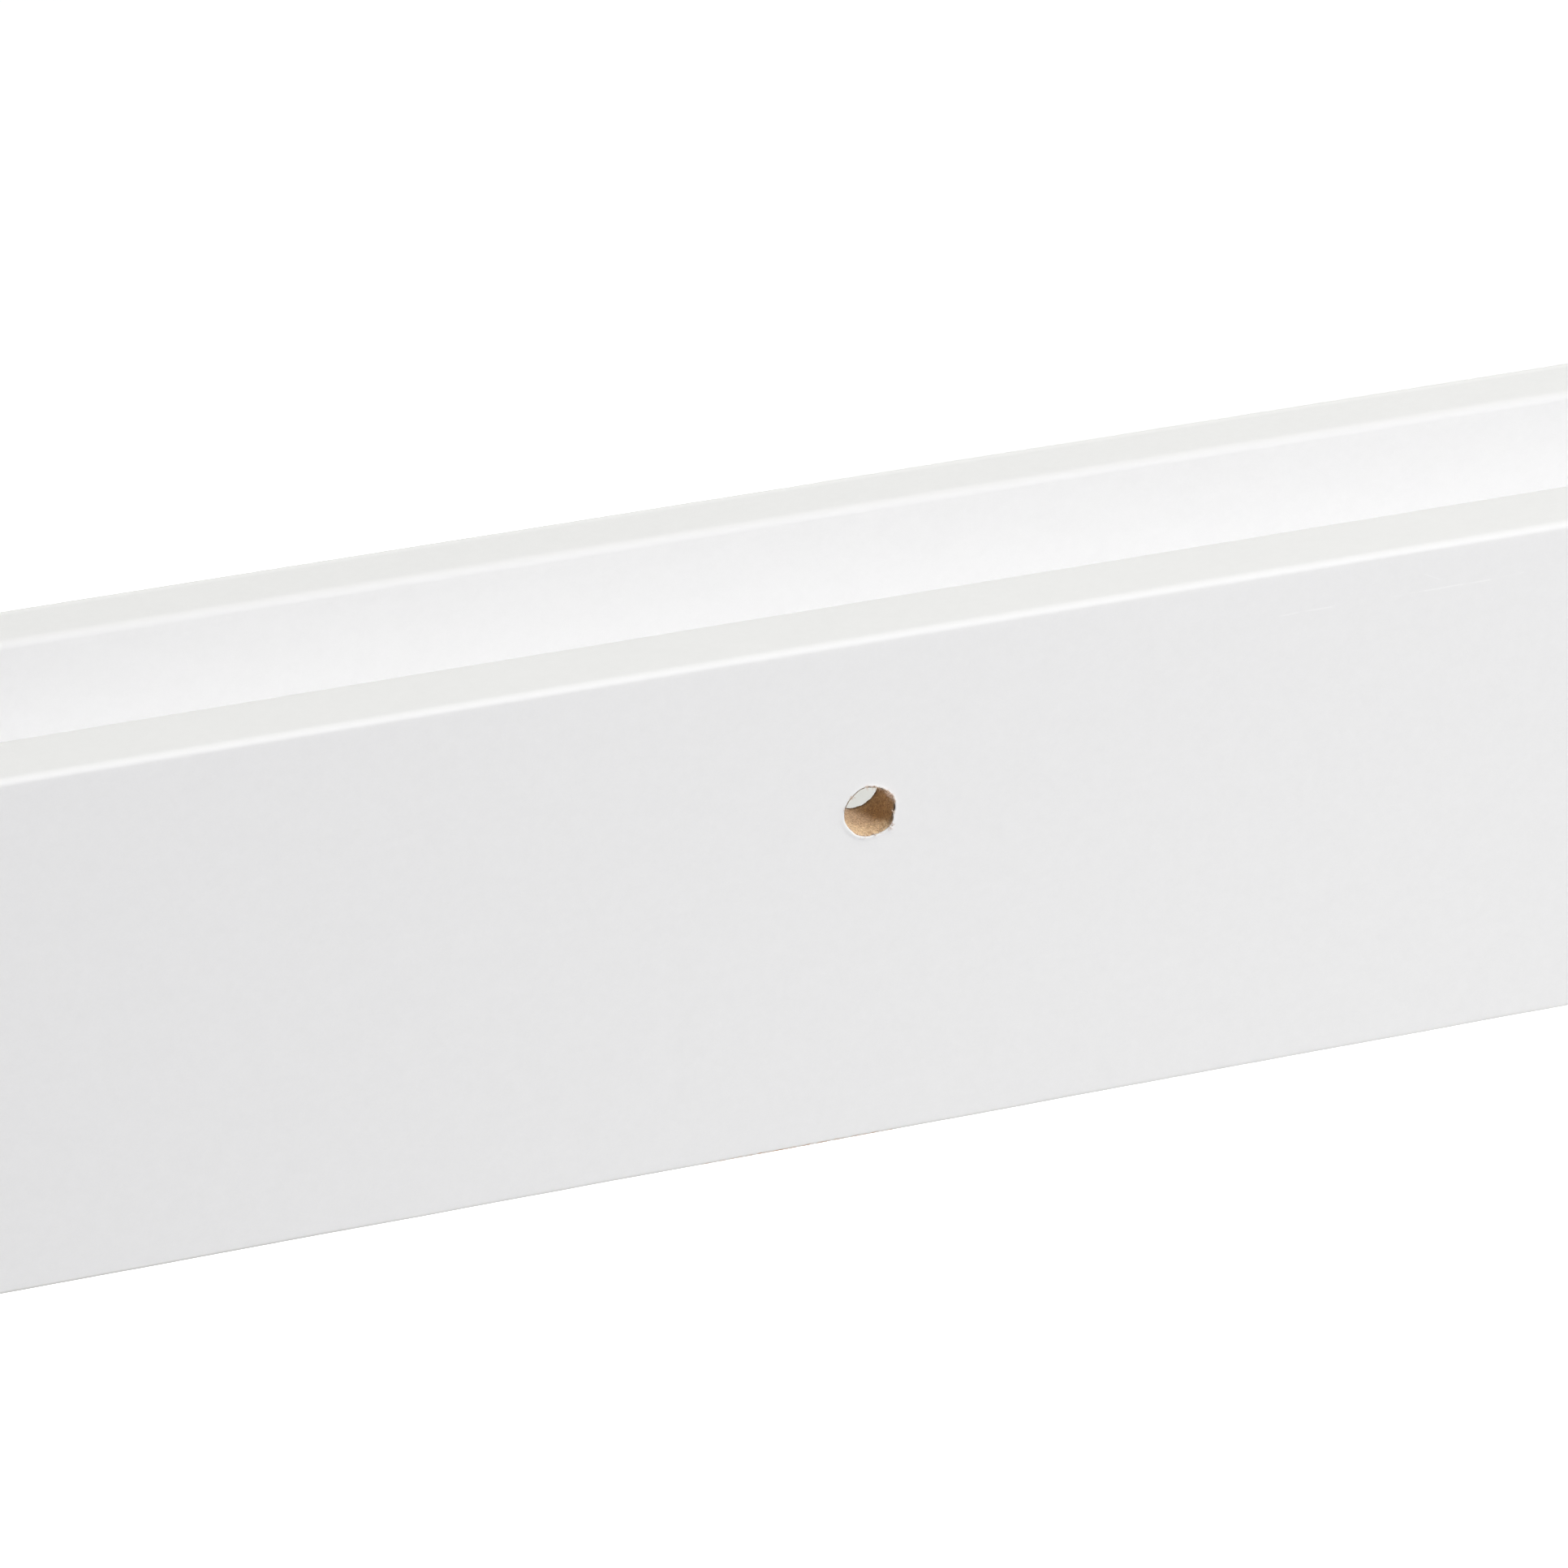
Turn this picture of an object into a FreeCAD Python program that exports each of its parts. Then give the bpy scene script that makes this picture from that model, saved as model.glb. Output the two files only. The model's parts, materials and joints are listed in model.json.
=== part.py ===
import FreeCAD, Part
import os

import Sketcher

# Picture ledge: a U-shaped wall shelf of foil-wrapped fibreboard.
#
# Axes: +X along the ledge, +Y towards the wall, +Z up. The origin is the middle of the underside,
# so the wall face lies at +Y, the front of the lip at -Y, and "left" is -X, as seen from the room.
#
# Each upright (the back rail and the front lip) is a fibreboard strip with a rebate along its lower
# inner corner. The base board's long edges are glued into the two rebates on wooden dowels. Its top
# foil stops at the uprights, so that bare board meets bare board in the rebates.
# The strips are wrapped in foil before they are joined, and banded on their bottoms and ends. A
# bottom band covers the wrap's lower edge on the outer side, and stops at the base board.

SHEET = "Sizes"
WALL_SIDE = 1
ROOM_SIDE = -1
LEFT = -1
RIGHT = 1

DRIVING_SIZES = [
    # alias, millimetres, what it is
    ("length", 550, "overall length, end bands included"),
    ("shelf_depth", 120, "wall face to lip front"),
    ("rail_height", 70, "back rail"),
    ("lip_height", 30, "front lip"),
    ("core_thickness", 9.5, "fibreboard of all three boards"),
    ("foil_thickness", 0.25, "wrap foil and the base board's two faces"),
    ("band_thickness", 0.4, "edge bands on bottoms and ends"),
    ("rebate_depth", 2, "how far the base board enters each upright"),
    ("rail_arris", 0.8, "outer radius of the rail's two top edges"),
    ("lip_arris", 1.2, "outer radius of the lip's two top edges"),
    ("bore_diameter", 6.6, "screw hole"),
    ("bore_spacing", 300, "between the two screw holes"),
    ("bore_drop", 24, "rail top to screw hole axis"),
    ("countersink_diameter", 13.2, "at the rail's front face"),
    ("countersink_angle", 90, "degrees, full cone"),
    ("dowel_diameter", 5, "fluted beech dowel, drawn smooth"),
    ("dowel_length", 24, "overall"),
    ("dowel_chamfer", 0.5, "at both ends"),
    ("dowel_grip", 5, "length of dowel inside the upright"),
    ("dowel_clearance", 0.05, "glue gap round the dowel, on the radius"),
    ("dowel_end_gap", 0.5, "glue gap past each end of the dowel"),
    ("dowel_pitch", 120, "between dowels"),
    ("dowel_count", 5, "dowels in each joint"),
]

# Sizes that follow from the driving ones, as expressions on the sheet's cells.
BOARD = f"({SHEET}.core_thickness + 2 * {SHEET}.foil_thickness)"
HALF_DEPTH = f"({SHEET}.shelf_depth / 2)"
INNER_FACE = f"({HALF_DEPTH} - {BOARD})"
SEAT = f"({INNER_FACE} + {SHEET}.rebate_depth)"
REBATE_TOP = f"({SHEET}.foil_thickness + {SHEET}.core_thickness)"
CORE_LENGTH = f"({SHEET}.length - 2 * {SHEET}.band_thickness)"
DOWEL_AXIS = f"({BOARD} / 2)"
SOCKET_RADIUS = f"({SHEET}.dowel_diameter / 2 + {SHEET}.dowel_clearance)"
FACE_SOCKET = f"({SHEET}.dowel_grip + {SHEET}.dowel_end_gap)"
EDGE_SOCKET = f"({SHEET}.dowel_length - {SHEET}.dowel_grip + {SHEET}.dowel_end_gap)"
DOWEL_RUN = f"(({SHEET}.dowel_count - 1) * {SHEET}.dowel_pitch)"
HEIGHTS = {WALL_SIDE: f"{SHEET}.rail_height", ROOM_SIDE: f"{SHEET}.lip_height"}
ARRISES = {WALL_SIDE: f"{SHEET}.rail_arris", ROOM_SIDE: f"{SHEET}.lip_arris"}

doc = FreeCAD.newDocument("picture_ledge")


def make_sheet():
    """Write the driving sizes into the sheet, one aliased cell each."""
    sheet = doc.addObject("Spreadsheet::Sheet", SHEET)
    for row, (alias, number, note) in enumerate(DRIVING_SIZES, start=1):
        sheet.set(f"A{row}", alias)
        sheet.set(f"B{row}", str(number))
        sheet.set(f"C{row}", note)
        sheet.setAlias(f"B{row}", alias)
    doc.recompute()
    return sheet


sizes = make_sheet()


def number(expression):
    """The present value of an expression on the sheet's cells."""
    return float(sizes.evalExpression(expression))


def new_body(label):
    """An empty body whose label is the sub-part's name."""
    body = doc.addObject("PartDesign::Body", label)
    body.Label = label
    return body


def new_sketch(body, name, role, offset="0"):
    """A sketch on one of the body's own origin planes, moved along the plane's normal by offset."""
    sketch = body.newObject("Sketcher::SketchObject", name)
    plane = next(item for item in body.Origin.OriginFeatures if item.Role == role)
    sketch.AttachmentSupport = [(plane, "")]
    sketch.MapMode = "FlatFace"
    sketch.setExpression(".AttachmentOffset.Base.z", offset)
    return sketch


def locate(sketch, geometry, point, across, up, name):
    """Tie one point of the sketch to its place, given as two expressions."""
    for axis, place in (("X", across), ("Y", up)):
        index = sketch.addConstraint(
            Sketcher.Constraint(f"Distance{axis}", -1, 1, geometry, point, number(place))
        )
        sketch.renameConstraint(index, f"{name}_{axis}")
        sketch.setExpression(f"Constraints.{name}_{axis}", place)


def draw_outline(sketch, corners):
    """A closed outline of straight lines through corners, each an (across, up) pair of expressions."""
    places = [FreeCAD.Vector(number(across), number(up), 0) for across, up in corners]
    count = len(corners)
    for index in range(count):
        sketch.addGeometry(Part.LineSegment(places[index], places[(index + 1) % count]), False)
    for index in range(count):
        sketch.addConstraint(Sketcher.Constraint("Coincident", index, 2, (index + 1) % count, 1))
    for index, (across, up) in enumerate(corners):
        locate(sketch, index, 1, across, up, f"corner_{index + 1}")


def draw_circle(sketch, across, up, radius, name):
    """A circle at (across, up), all three given as expressions."""
    centre = FreeCAD.Vector(number(across), number(up), 0)
    circle = sketch.addGeometry(Part.Circle(centre, FreeCAD.Vector(0, 0, 1), number(radius)), False)
    locate(sketch, circle, 3, across, up, name)
    index = sketch.addConstraint(Sketcher.Constraint("Radius", circle, number(radius)))
    sketch.renameConstraint(index, f"{name}_radius")
    sketch.setExpression(f"Constraints.{name}_radius", radius)


def extrude_along(body, corners, start, run):
    """Pad a section outline along +X from start over run, both given as expressions."""
    sketch = new_sketch(body, f"{body.Name}_section", "YZ_Plane", start)
    draw_outline(sketch, corners)
    pad = body.newObject("PartDesign::Pad", f"{body.Name}_pad")
    pad.Profile = sketch
    pad.setExpression("Length", run)
    doc.recompute()
    return pad


def round_edges(body, feature, places, radius, name):
    """Round the edges that run along X through the given (Y, Z) places."""
    picked = []
    for index, edge in enumerate(feature.Shape.Edges, start=1):
        box = edge.BoundBox
        along_x = box.XLength > 0.9 * feature.Shape.BoundBox.XLength
        middle = edge.CenterOfMass
        for across, up in places:
            if along_x and abs(middle.y - number(across)) < 1e-6 and abs(middle.z - number(up)) < 1e-6:
                picked.append(f"Edge{index}")
    if len(picked) != len(places):
        raise RuntimeError(f"{name}: found {len(picked)} edges to round, wanted {len(places)}")
    fillet = body.newObject("PartDesign::Fillet", name)
    fillet.Base = (feature, picked)
    fillet.setExpression("Radius", radius)
    doc.recompute()
    return fillet


def check_cut(feature, before):
    """Stop if a cutting feature took nothing away."""
    if feature.Shape.Volume > before - 1.0:
        raise RuntimeError(f"{feature.Name} cuts nothing: its direction is wrong")


def drill_screw_holes(body):
    """The two countersunk screw holes, drilled from the rail's front face right through."""
    sketch = new_sketch(body, f"{body.Name}_bore_centres", "XZ_Plane", f"-{INNER_FACE}")
    height = f"({SHEET}.rail_height - {SHEET}.bore_drop)"
    for name, side in (("left", LEFT), ("right", RIGHT)):
        draw_circle(sketch, f"{side} * {SHEET}.bore_spacing / 2", height, f"{SHEET}.bore_diameter / 2", name)
    doc.recompute()
    before = body.Shape.Volume
    hole = body.newObject("PartDesign::Hole", f"{body.Name}_bores")
    hole.Profile = sketch
    hole.ThreadType = "None"
    hole.DepthType = "ThroughAll"
    hole.DrillPoint = "Flat"
    hole.HoleCutType = "Countersink"
    hole.HoleCutCustomValues = True
    hole.setExpression("Diameter", f"{SHEET}.bore_diameter")
    hole.setExpression("HoleCutDiameter", f"{SHEET}.countersink_diameter")
    hole.setExpression("HoleCutCountersinkAngle", f"{SHEET}.countersink_angle")
    doc.recompute()
    check_cut(hole, before)


def drill_dowel_sockets(body, name, side, depth, towards_wall):
    """A row of dowel sockets from the glued face at SEAT on one side of the ledge."""
    sketch = new_sketch(body, f"{body.Name}_{name}_circle", "XZ_Plane", f"-({side}) * {SEAT}")
    draw_circle(sketch, f"-{DOWEL_RUN} / 2", DOWEL_AXIS, SOCKET_RADIUS, "socket")
    doc.recompute()
    before = body.Shape.Volume
    pocket = body.newObject("PartDesign::Pocket", f"{body.Name}_{name}_socket")
    pocket.Profile = sketch
    pocket.Reversed = not towards_wall
    pocket.setExpression("Length", depth)
    doc.recompute()
    check_cut(pocket, before)
    repeat_along(body, pocket, sketch, f"{body.Name}_{name}_row")


def repeat_along(body, feature, sketch, name):
    """Repeat a feature along X, once for each dowel."""
    row = body.newObject("PartDesign::LinearPattern", name)
    row.Originals = [feature]
    row.Direction = (sketch, ["H_Axis"])
    row.setExpression("Length", DOWEL_RUN)
    row.setExpression("Occurrences", f"{SHEET}.dowel_count")
    body.Tip = row
    doc.recompute()
    return row


def upright_core(label, side):
    """The fibreboard strip of the rail or the lip, with its rebate and dowel sockets."""
    body = new_body(label)
    outer = f"{side} * ({HALF_DEPTH} - {SHEET}.foil_thickness)"
    inner = f"{side} * ({INNER_FACE} + {SHEET}.foil_thickness)"
    seat = f"{side} * {SEAT}"
    top = f"({HEIGHTS[side]} - {SHEET}.foil_thickness)"
    bottom = f"{SHEET}.band_thickness"
    corners = [
        (seat, bottom),
        (outer, bottom),
        (outer, top),
        (inner, top),
        (inner, REBATE_TOP),
        (seat, REBATE_TOP),
    ]
    pad = extrude_along(body, corners, f"-{CORE_LENGTH} / 2", CORE_LENGTH)
    arris = f"({ARRISES[side]} - {SHEET}.foil_thickness)"
    round_edges(body, pad, [(outer, top), (inner, top)], arris, f"{label}_arrises")
    drill_dowel_sockets(body, "dowel", side, FACE_SOCKET, towards_wall=side == WALL_SIDE)
    return body


def upright_foil(label, side):
    """The foil round the strip's outer face, top and inner face, down to the band and the rebate."""
    body = new_body(label)
    outer = f"{side} * {HALF_DEPTH}"
    outer_under = f"{side} * ({HALF_DEPTH} - {SHEET}.foil_thickness)"
    inner = f"{side} * {INNER_FACE}"
    inner_under = f"{side} * ({INNER_FACE} + {SHEET}.foil_thickness)"
    top = HEIGHTS[side]
    top_under = f"({HEIGHTS[side]} - {SHEET}.foil_thickness)"
    bottom = f"{SHEET}.band_thickness"
    corners = [
        (outer, bottom),
        (outer, top),
        (inner, top),
        (inner, REBATE_TOP),
        (inner_under, REBATE_TOP),
        (inner_under, top_under),
        (outer_under, top_under),
        (outer_under, bottom),
    ]
    pad = extrude_along(body, corners, f"-{CORE_LENGTH} / 2", CORE_LENGTH)
    outside = round_edges(body, pad, [(outer, top), (inner, top)], ARRISES[side], f"{label}_outside")
    under = f"({ARRISES[side]} - {SHEET}.foil_thickness)"
    places = [(outer_under, top_under), (inner_under, top_under)]
    round_edges(body, outside, places, under, f"{label}_inside")
    return body


def upright_bottom_band(label, side):
    """The band on the strip's bottom edge, from the outer face to the base board."""
    body = new_body(label)
    seat = f"{side} * {SEAT}"
    outer = f"{side} * {HALF_DEPTH}"
    top = f"{SHEET}.band_thickness"
    corners = [(seat, "0"), (outer, "0"), (outer, top), (seat, top)]
    extrude_along(body, corners, f"-{CORE_LENGTH} / 2", CORE_LENGTH)
    return body


def end_band_start(end):
    """Where an end band begins, along X."""
    return {LEFT: f"-{SHEET}.length / 2", RIGHT: f"{CORE_LENGTH} / 2"}[end]


def upright_end_band(label, side, end):
    """The band over one end of the rail or lip: the strip's whole section, foil included."""
    body = new_body(label)
    outer = f"{side} * {HALF_DEPTH}"
    inner = f"{side} * {INNER_FACE}"
    seat = f"{side} * {SEAT}"
    top = HEIGHTS[side]
    corners = [
        (seat, "0"),
        (outer, "0"),
        (outer, top),
        (inner, top),
        (inner, REBATE_TOP),
        (seat, REBATE_TOP),
    ]
    pad = extrude_along(body, corners, end_band_start(end), f"{SHEET}.band_thickness")
    round_edges(body, pad, [(outer, top), (inner, top)], ARRISES[side], f"{label}_arrises")
    return body


def base_layer(label, bottom, top, half_width):
    """A flat layer of the base board."""
    body = new_body(label)
    corners = [
        (f"-{half_width}", bottom),
        (half_width, bottom),
        (half_width, top),
        (f"-{half_width}", top),
    ]
    extrude_along(body, corners, f"-{CORE_LENGTH} / 2", CORE_LENGTH)
    return body


def base_end_band(label, end):
    """The band over one end of the base board, shouldered where the board enters the rebates."""
    body = new_body(label)
    corners = [
        (f"-{SEAT}", "0"),
        (SEAT, "0"),
        (SEAT, REBATE_TOP),
        (INNER_FACE, REBATE_TOP),
        (INNER_FACE, BOARD),
        (f"-{INNER_FACE}", BOARD),
        (f"-{INNER_FACE}", REBATE_TOP),
        (f"-{SEAT}", REBATE_TOP),
    ]
    extrude_along(body, corners, end_band_start(end), f"{SHEET}.band_thickness")
    return body


def base_board():
    """The base board: its core with both rows of sockets, its two faces and its end bands."""
    under = f"{SHEET}.foil_thickness"
    core = base_layer("base_core", under, REBATE_TOP, SEAT)
    drill_dowel_sockets(core, "rail", WALL_SIDE, EDGE_SOCKET, towards_wall=False)
    drill_dowel_sockets(core, "lip", ROOM_SIDE, EDGE_SOCKET, towards_wall=True)
    return [
        core,
        base_layer("base_top_foil", REBATE_TOP, BOARD, INNER_FACE),
        base_layer("base_bottom_foil", "0", under, SEAT),
        base_end_band("base_end_band_left", LEFT),
        base_end_band("base_end_band_right", RIGHT),
    ]


def dowel_row(label, side):
    """The dowels of one joint: one turned dowel with chamfered ends, repeated along X."""
    body = new_body(label)
    sketch = new_sketch(body, f"{label}_profile", "YZ_Plane", f"-{DOWEL_RUN} / 2")
    radius = f"{SHEET}.dowel_diameter / 2"
    chamfer = f"{SHEET}.dowel_chamfer"
    upright_end = f"{side} * ({SEAT} + {SHEET}.dowel_grip)"
    base_end = f"{side} * ({SEAT} + {SHEET}.dowel_grip - {SHEET}.dowel_length)"
    draw_outline(sketch, [
        (base_end, DOWEL_AXIS),
        (upright_end, DOWEL_AXIS),
        (upright_end, f"{DOWEL_AXIS} + {radius} - {chamfer}"),
        (f"{upright_end} - {side} * {chamfer}", f"{DOWEL_AXIS} + {radius}"),
        (f"{base_end} + {side} * {chamfer}", f"{DOWEL_AXIS} + {radius}"),
        (base_end, f"{DOWEL_AXIS} + {radius} - {chamfer}"),
    ])
    turned = body.newObject("PartDesign::Revolution", f"{label}_turned")
    turned.Profile = sketch
    turned.ReferenceAxis = (sketch, ["Edge1"])
    turned.Angle = 360
    doc.recompute()
    pattern_line = new_sketch(body, f"{label}_line", "XZ_Plane")
    repeat_along(body, turned, pattern_line, f"{label}_row")
    return body


def upright(name, side):
    """All the pieces of the rail or the lip."""
    return [
        upright_core(f"{name}_core", side),
        upright_foil(f"{name}_foil", side),
        upright_bottom_band(f"{name}_bottom_band", side),
        upright_end_band(f"{name}_end_band_left", side, LEFT),
        upright_end_band(f"{name}_end_band_right", side, RIGHT),
        dowel_row(f"{name}_dowels", side),
    ]


def check_document():
    """Stop if any object of the document failed to compute."""
    for item in doc.Objects:
        failed = {"Invalid", "Error"} & set(item.State)
        if failed:
            raise RuntimeError(f"{item.Name} is {sorted(failed)}")


def write_parts(bodies, solids_in):
    """Check each sub-part's shape and write it to a file of its own."""
    os.makedirs("parts", exist_ok=True)
    for body in bodies:
        shape = body.Shape
        wanted = solids_in.get(body.Label, 1)
        if shape.isNull() or not shape.isValid() or len(shape.Solids) != wanted:
            raise RuntimeError(f"{body.Label}: bad shape, {len(shape.Solids)} solids, wanted {wanted}")
        shape.exportStep(f"parts/{body.Label}.step")
        print(f"{body.Label:24s} {len(shape.Solids)} solid(s) {shape.Volume:12.1f} mm3")


rail = upright("rail", WALL_SIDE)
lip = upright("lip", ROOM_SIDE)
base = base_board()
for pierced in rail[:2]:
    drill_screw_holes(pierced)
doc.recompute()
check_document()
dowels = int(number(f"{SHEET}.dowel_count"))
write_parts(rail + base + lip, {"rail_dowels": dowels, "lip_dowels": dowels})
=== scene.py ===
import json
import logging
import math
from dataclasses import dataclass
from enum import Enum
from typing import Callable, Sequence

import bmesh
import bpy
from bmesh.types import BMesh, BMVert
from bpy.types import ID, Material, Mesh, Node, NodeSocket, NodeTree, Object
from mathutils import Matrix, Vector, geometry, noise


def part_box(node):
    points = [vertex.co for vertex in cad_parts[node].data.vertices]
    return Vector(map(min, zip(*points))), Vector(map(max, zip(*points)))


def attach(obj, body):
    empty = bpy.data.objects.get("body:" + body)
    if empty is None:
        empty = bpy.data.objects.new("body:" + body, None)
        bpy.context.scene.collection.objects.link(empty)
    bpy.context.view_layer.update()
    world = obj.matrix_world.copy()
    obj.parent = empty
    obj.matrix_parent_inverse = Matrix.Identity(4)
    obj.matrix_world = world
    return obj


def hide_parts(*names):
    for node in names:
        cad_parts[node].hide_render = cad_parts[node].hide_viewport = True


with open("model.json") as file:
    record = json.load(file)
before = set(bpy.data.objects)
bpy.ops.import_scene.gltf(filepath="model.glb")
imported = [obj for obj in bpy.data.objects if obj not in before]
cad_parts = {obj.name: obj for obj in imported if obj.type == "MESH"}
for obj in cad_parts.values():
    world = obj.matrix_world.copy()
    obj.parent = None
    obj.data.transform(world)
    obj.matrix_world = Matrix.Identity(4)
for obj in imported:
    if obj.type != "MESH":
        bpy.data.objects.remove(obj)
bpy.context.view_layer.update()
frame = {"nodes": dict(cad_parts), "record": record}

# A white picture ledge of foil-wrapped fibreboard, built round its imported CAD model.
# Axes: +X along the ledge, +Y towards the wall, +Z up. Every class works in millimetres, and a
# mesh is turned to metres once, when its piece is made.

MM = 0.001
IMAGE_SIDE = 1932
SENSOR_WIDTH = 36.0
BODY = "root"
FLAT_ANGLE = math.radians(28)
# How near to a face a point still counts as on it, and to another point as the same.
ON_FACE = 1e-3
SAME_PLACE = 1e-6
# A grain so long that it shows no change.
UNCHANGED = 500.0
# The short flat stretch that is drawn beside each curve, so that the shading stays in the curve.
FLAT_RUN = 0.4
# How far in from the outer face the flat of the bottom begins.
FOOT_RUN = 0.9
# How far from the outer arris, across and up, a band's bare board and painted shade reach.
ARRIS_MARK_REACH = (0.4, 0.34)
# The glue's room round a dowel, and the room that is left at the end of its socket.
GLUE_GAP = 0.05
SOCKET_ROOM = 0.5

log = logging.getLogger("picture_ledge")

Point2 = tuple[float, float]


class Side(Enum):
    """The two uprights: the rail against the wall, and the lip towards the room."""

    RAIL = 1
    LIP = -1

    @property
    def word(self) -> str:
        """The upright's name in the CAD nodes."""
        return self.name.lower()


class End(Enum):
    """The two ends of the ledge, as seen from the room."""

    LEFT = -1
    RIGHT = 1

    @property
    def word(self) -> str:
        """The end's name in the CAD nodes."""
        return self.name.lower()


class Slot(Enum):
    """The record's material slots."""

    FIBREBOARD = "fibreboard"
    FOIL = "white_foil"
    BAND = "white_band"
    DOWEL = "dowel_wood"


class Chip(Enum):
    """The two shapes of debris that a drill leaves at a hole."""

    FIBRE = "fibre"
    FLAKE = "flake"


# --------------------------------------------------------------------------- nodes and colours


def linear(code: str) -> tuple[float, float, float, float]:
    """An sRGB colour as the linear colour that shaders take.

    Args:
        code: the colour as "#RRGGBB".

    Returns:
        Linear red, green, blue and an alpha of 1.
    """
    channels = [int(code[start:start + 2], 16) / 255 for start in (1, 3, 5)]
    red, green, blue = [c / 12.92 if c <= 0.04045 else ((c + 0.055) / 1.055) ** 2.4 for c in channels]
    return red, green, blue, 1.0


def add_node(
    tree: NodeTree, kind: str, settings: dict | None = None, links: dict | None = None
) -> Node:
    """Add one node with its settings and its incoming links.

    Args:
        tree: the shader or geometry tree.
        kind: the node's type name.
        settings: values by property name, or by input socket: its name, identifier or index.
        links: what feeds an input socket: an output socket, or a node for its first output.

    Returns:
        The node.
    """
    node = tree.nodes.new(kind)

    def find(key: str | int) -> NodeSocket:
        """The input socket that a key names."""
        if isinstance(key, int):
            return node.inputs[key]
        return next(s for s in node.inputs if key in (s.identifier, s.name) and s.enabled)

    for key, value in (settings or {}).items():
        if isinstance(key, str) and hasattr(node, key):
            setattr(node, key, value)
        else:
            find(key).default_value = value
    for key, source in (links or {}).items():
        tree.links.new(source.outputs[0] if isinstance(source, Node) else source, find(key))
    return node


def new_material(name: str) -> tuple[Material, NodeTree]:
    """A material with an empty node tree.

    Args:
        name: what the real material is.

    Returns:
        The material and its tree.
    """
    material = bpy.data.materials.new(name)
    material.use_nodes = True
    material.node_tree.nodes.clear()
    return material, material.node_tree


def noise_at(tree: NodeTree, size: Sequence[float], detail: float, turn: float = 0.0) -> Node:
    """Noise on object coordinates whose grain has a real size.

    Args:
        tree: the material's tree.
        size: the grain's length along X, Y and Z in millimetres.
        detail: octaves of finer noise.
        turn: how far the pattern is turned about Y, in degrees.

    Returns:
        The noise node.
    """
    place = add_node(tree, "ShaderNodeTexCoord")
    turned = add_node(
        tree, "ShaderNodeMapping", {"Rotation": (0, math.radians(turn), 0)},
        {"Vector": place.outputs["Object"]},
    )
    scaled = add_node(
        tree, "ShaderNodeMapping", {"Scale": [1 / (length * MM) for length in size]}, {"Vector": turned}
    )
    return add_node(tree, "ShaderNodeTexNoise", {"Scale": 1.0, "Detail": detail}, {"Vector": scaled})


def object_axes(tree: NodeTree) -> Node:
    """The node that gives a point's X, Y and Z on the object."""
    place = add_node(tree, "ShaderNodeTexCoord")
    return add_node(tree, "ShaderNodeSeparateXYZ", links={"Vector": place.outputs["Object"]})


def two_tone(tree: NodeTree, value: Node, spread: Point2, dark: str, light: str) -> NodeSocket:
    """A colour that goes from a dark to a light tone as a value goes through a range.

    Args:
        tree: the material's tree.
        value: the node that gives the value.
        spread: the value's range.
        dark: the tone at its low end.
        light: the tone at its high end.

    Returns:
        The colour.
    """
    share = add_node(
        tree, "ShaderNodeMapRange", {"From Min": spread[0], "From Max": spread[1]}, {"Value": value}
    )
    mixed = add_node(
        tree, "ShaderNodeMix", {"data_type": "RGBA", "A_Color": linear(dark), "B_Color": linear(light)},
        {"Factor_Float": share},
    )
    return mixed.outputs[2]


# --------------------------------------------------------------------------- finishes


@dataclass(frozen=True)
class Pattern:
    """What a finish draws: a colour, the layers over it, and the node with its relief's height.

    A layer is a colour as "#RRGGBB", and the mask through which it shows.
    """

    colour: NodeSocket
    layers: tuple[tuple[str, Node | NodeSocket], ...] = ()
    height: Node | None = None


@dataclass(frozen=True)
class Finish:
    """What every finish has. Each kind draws its own pattern.

    relief is the depth of the surface's grain in millimetres, and bump how strongly it shows.
    """

    name: str
    roughness: float
    ior: float
    relief: float = 0.0
    bump: float = 0.5

    def material(self) -> Material:
        """The finish as a node material.

        Returns:
            The material.
        """
        material, tree = new_material(self.name)
        drawn = self.pattern(tree)
        colour = drawn.colour
        for code, mask in drawn.layers:
            colour = add_node(
                tree, "ShaderNodeMix", {"data_type": "RGBA", "B_Color": linear(code)},
                {"Factor_Float": mask, "A_Color": colour},
            ).outputs[2]
        links = {"Base Color": colour}
        if drawn.height is not None:
            links["Normal"] = add_node(
                tree, "ShaderNodeBump", {"Strength": self.bump, "Distance": self.relief * MM},
                {"Height": drawn.height},
            )
        shader = add_node(
            tree, "ShaderNodeBsdfPrincipled", {"Roughness": self.roughness, "IOR": self.ior}, links
        )
        add_node(tree, "ShaderNodeOutputMaterial", links={"Surface": shader})
        return material

    def pattern(self, tree: NodeTree) -> Pattern:
        """Draw the finish's own pattern.

        Args:
            tree: the material's tree.

        Returns:
            The pattern.
        """
        raise NotImplementedError


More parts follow.
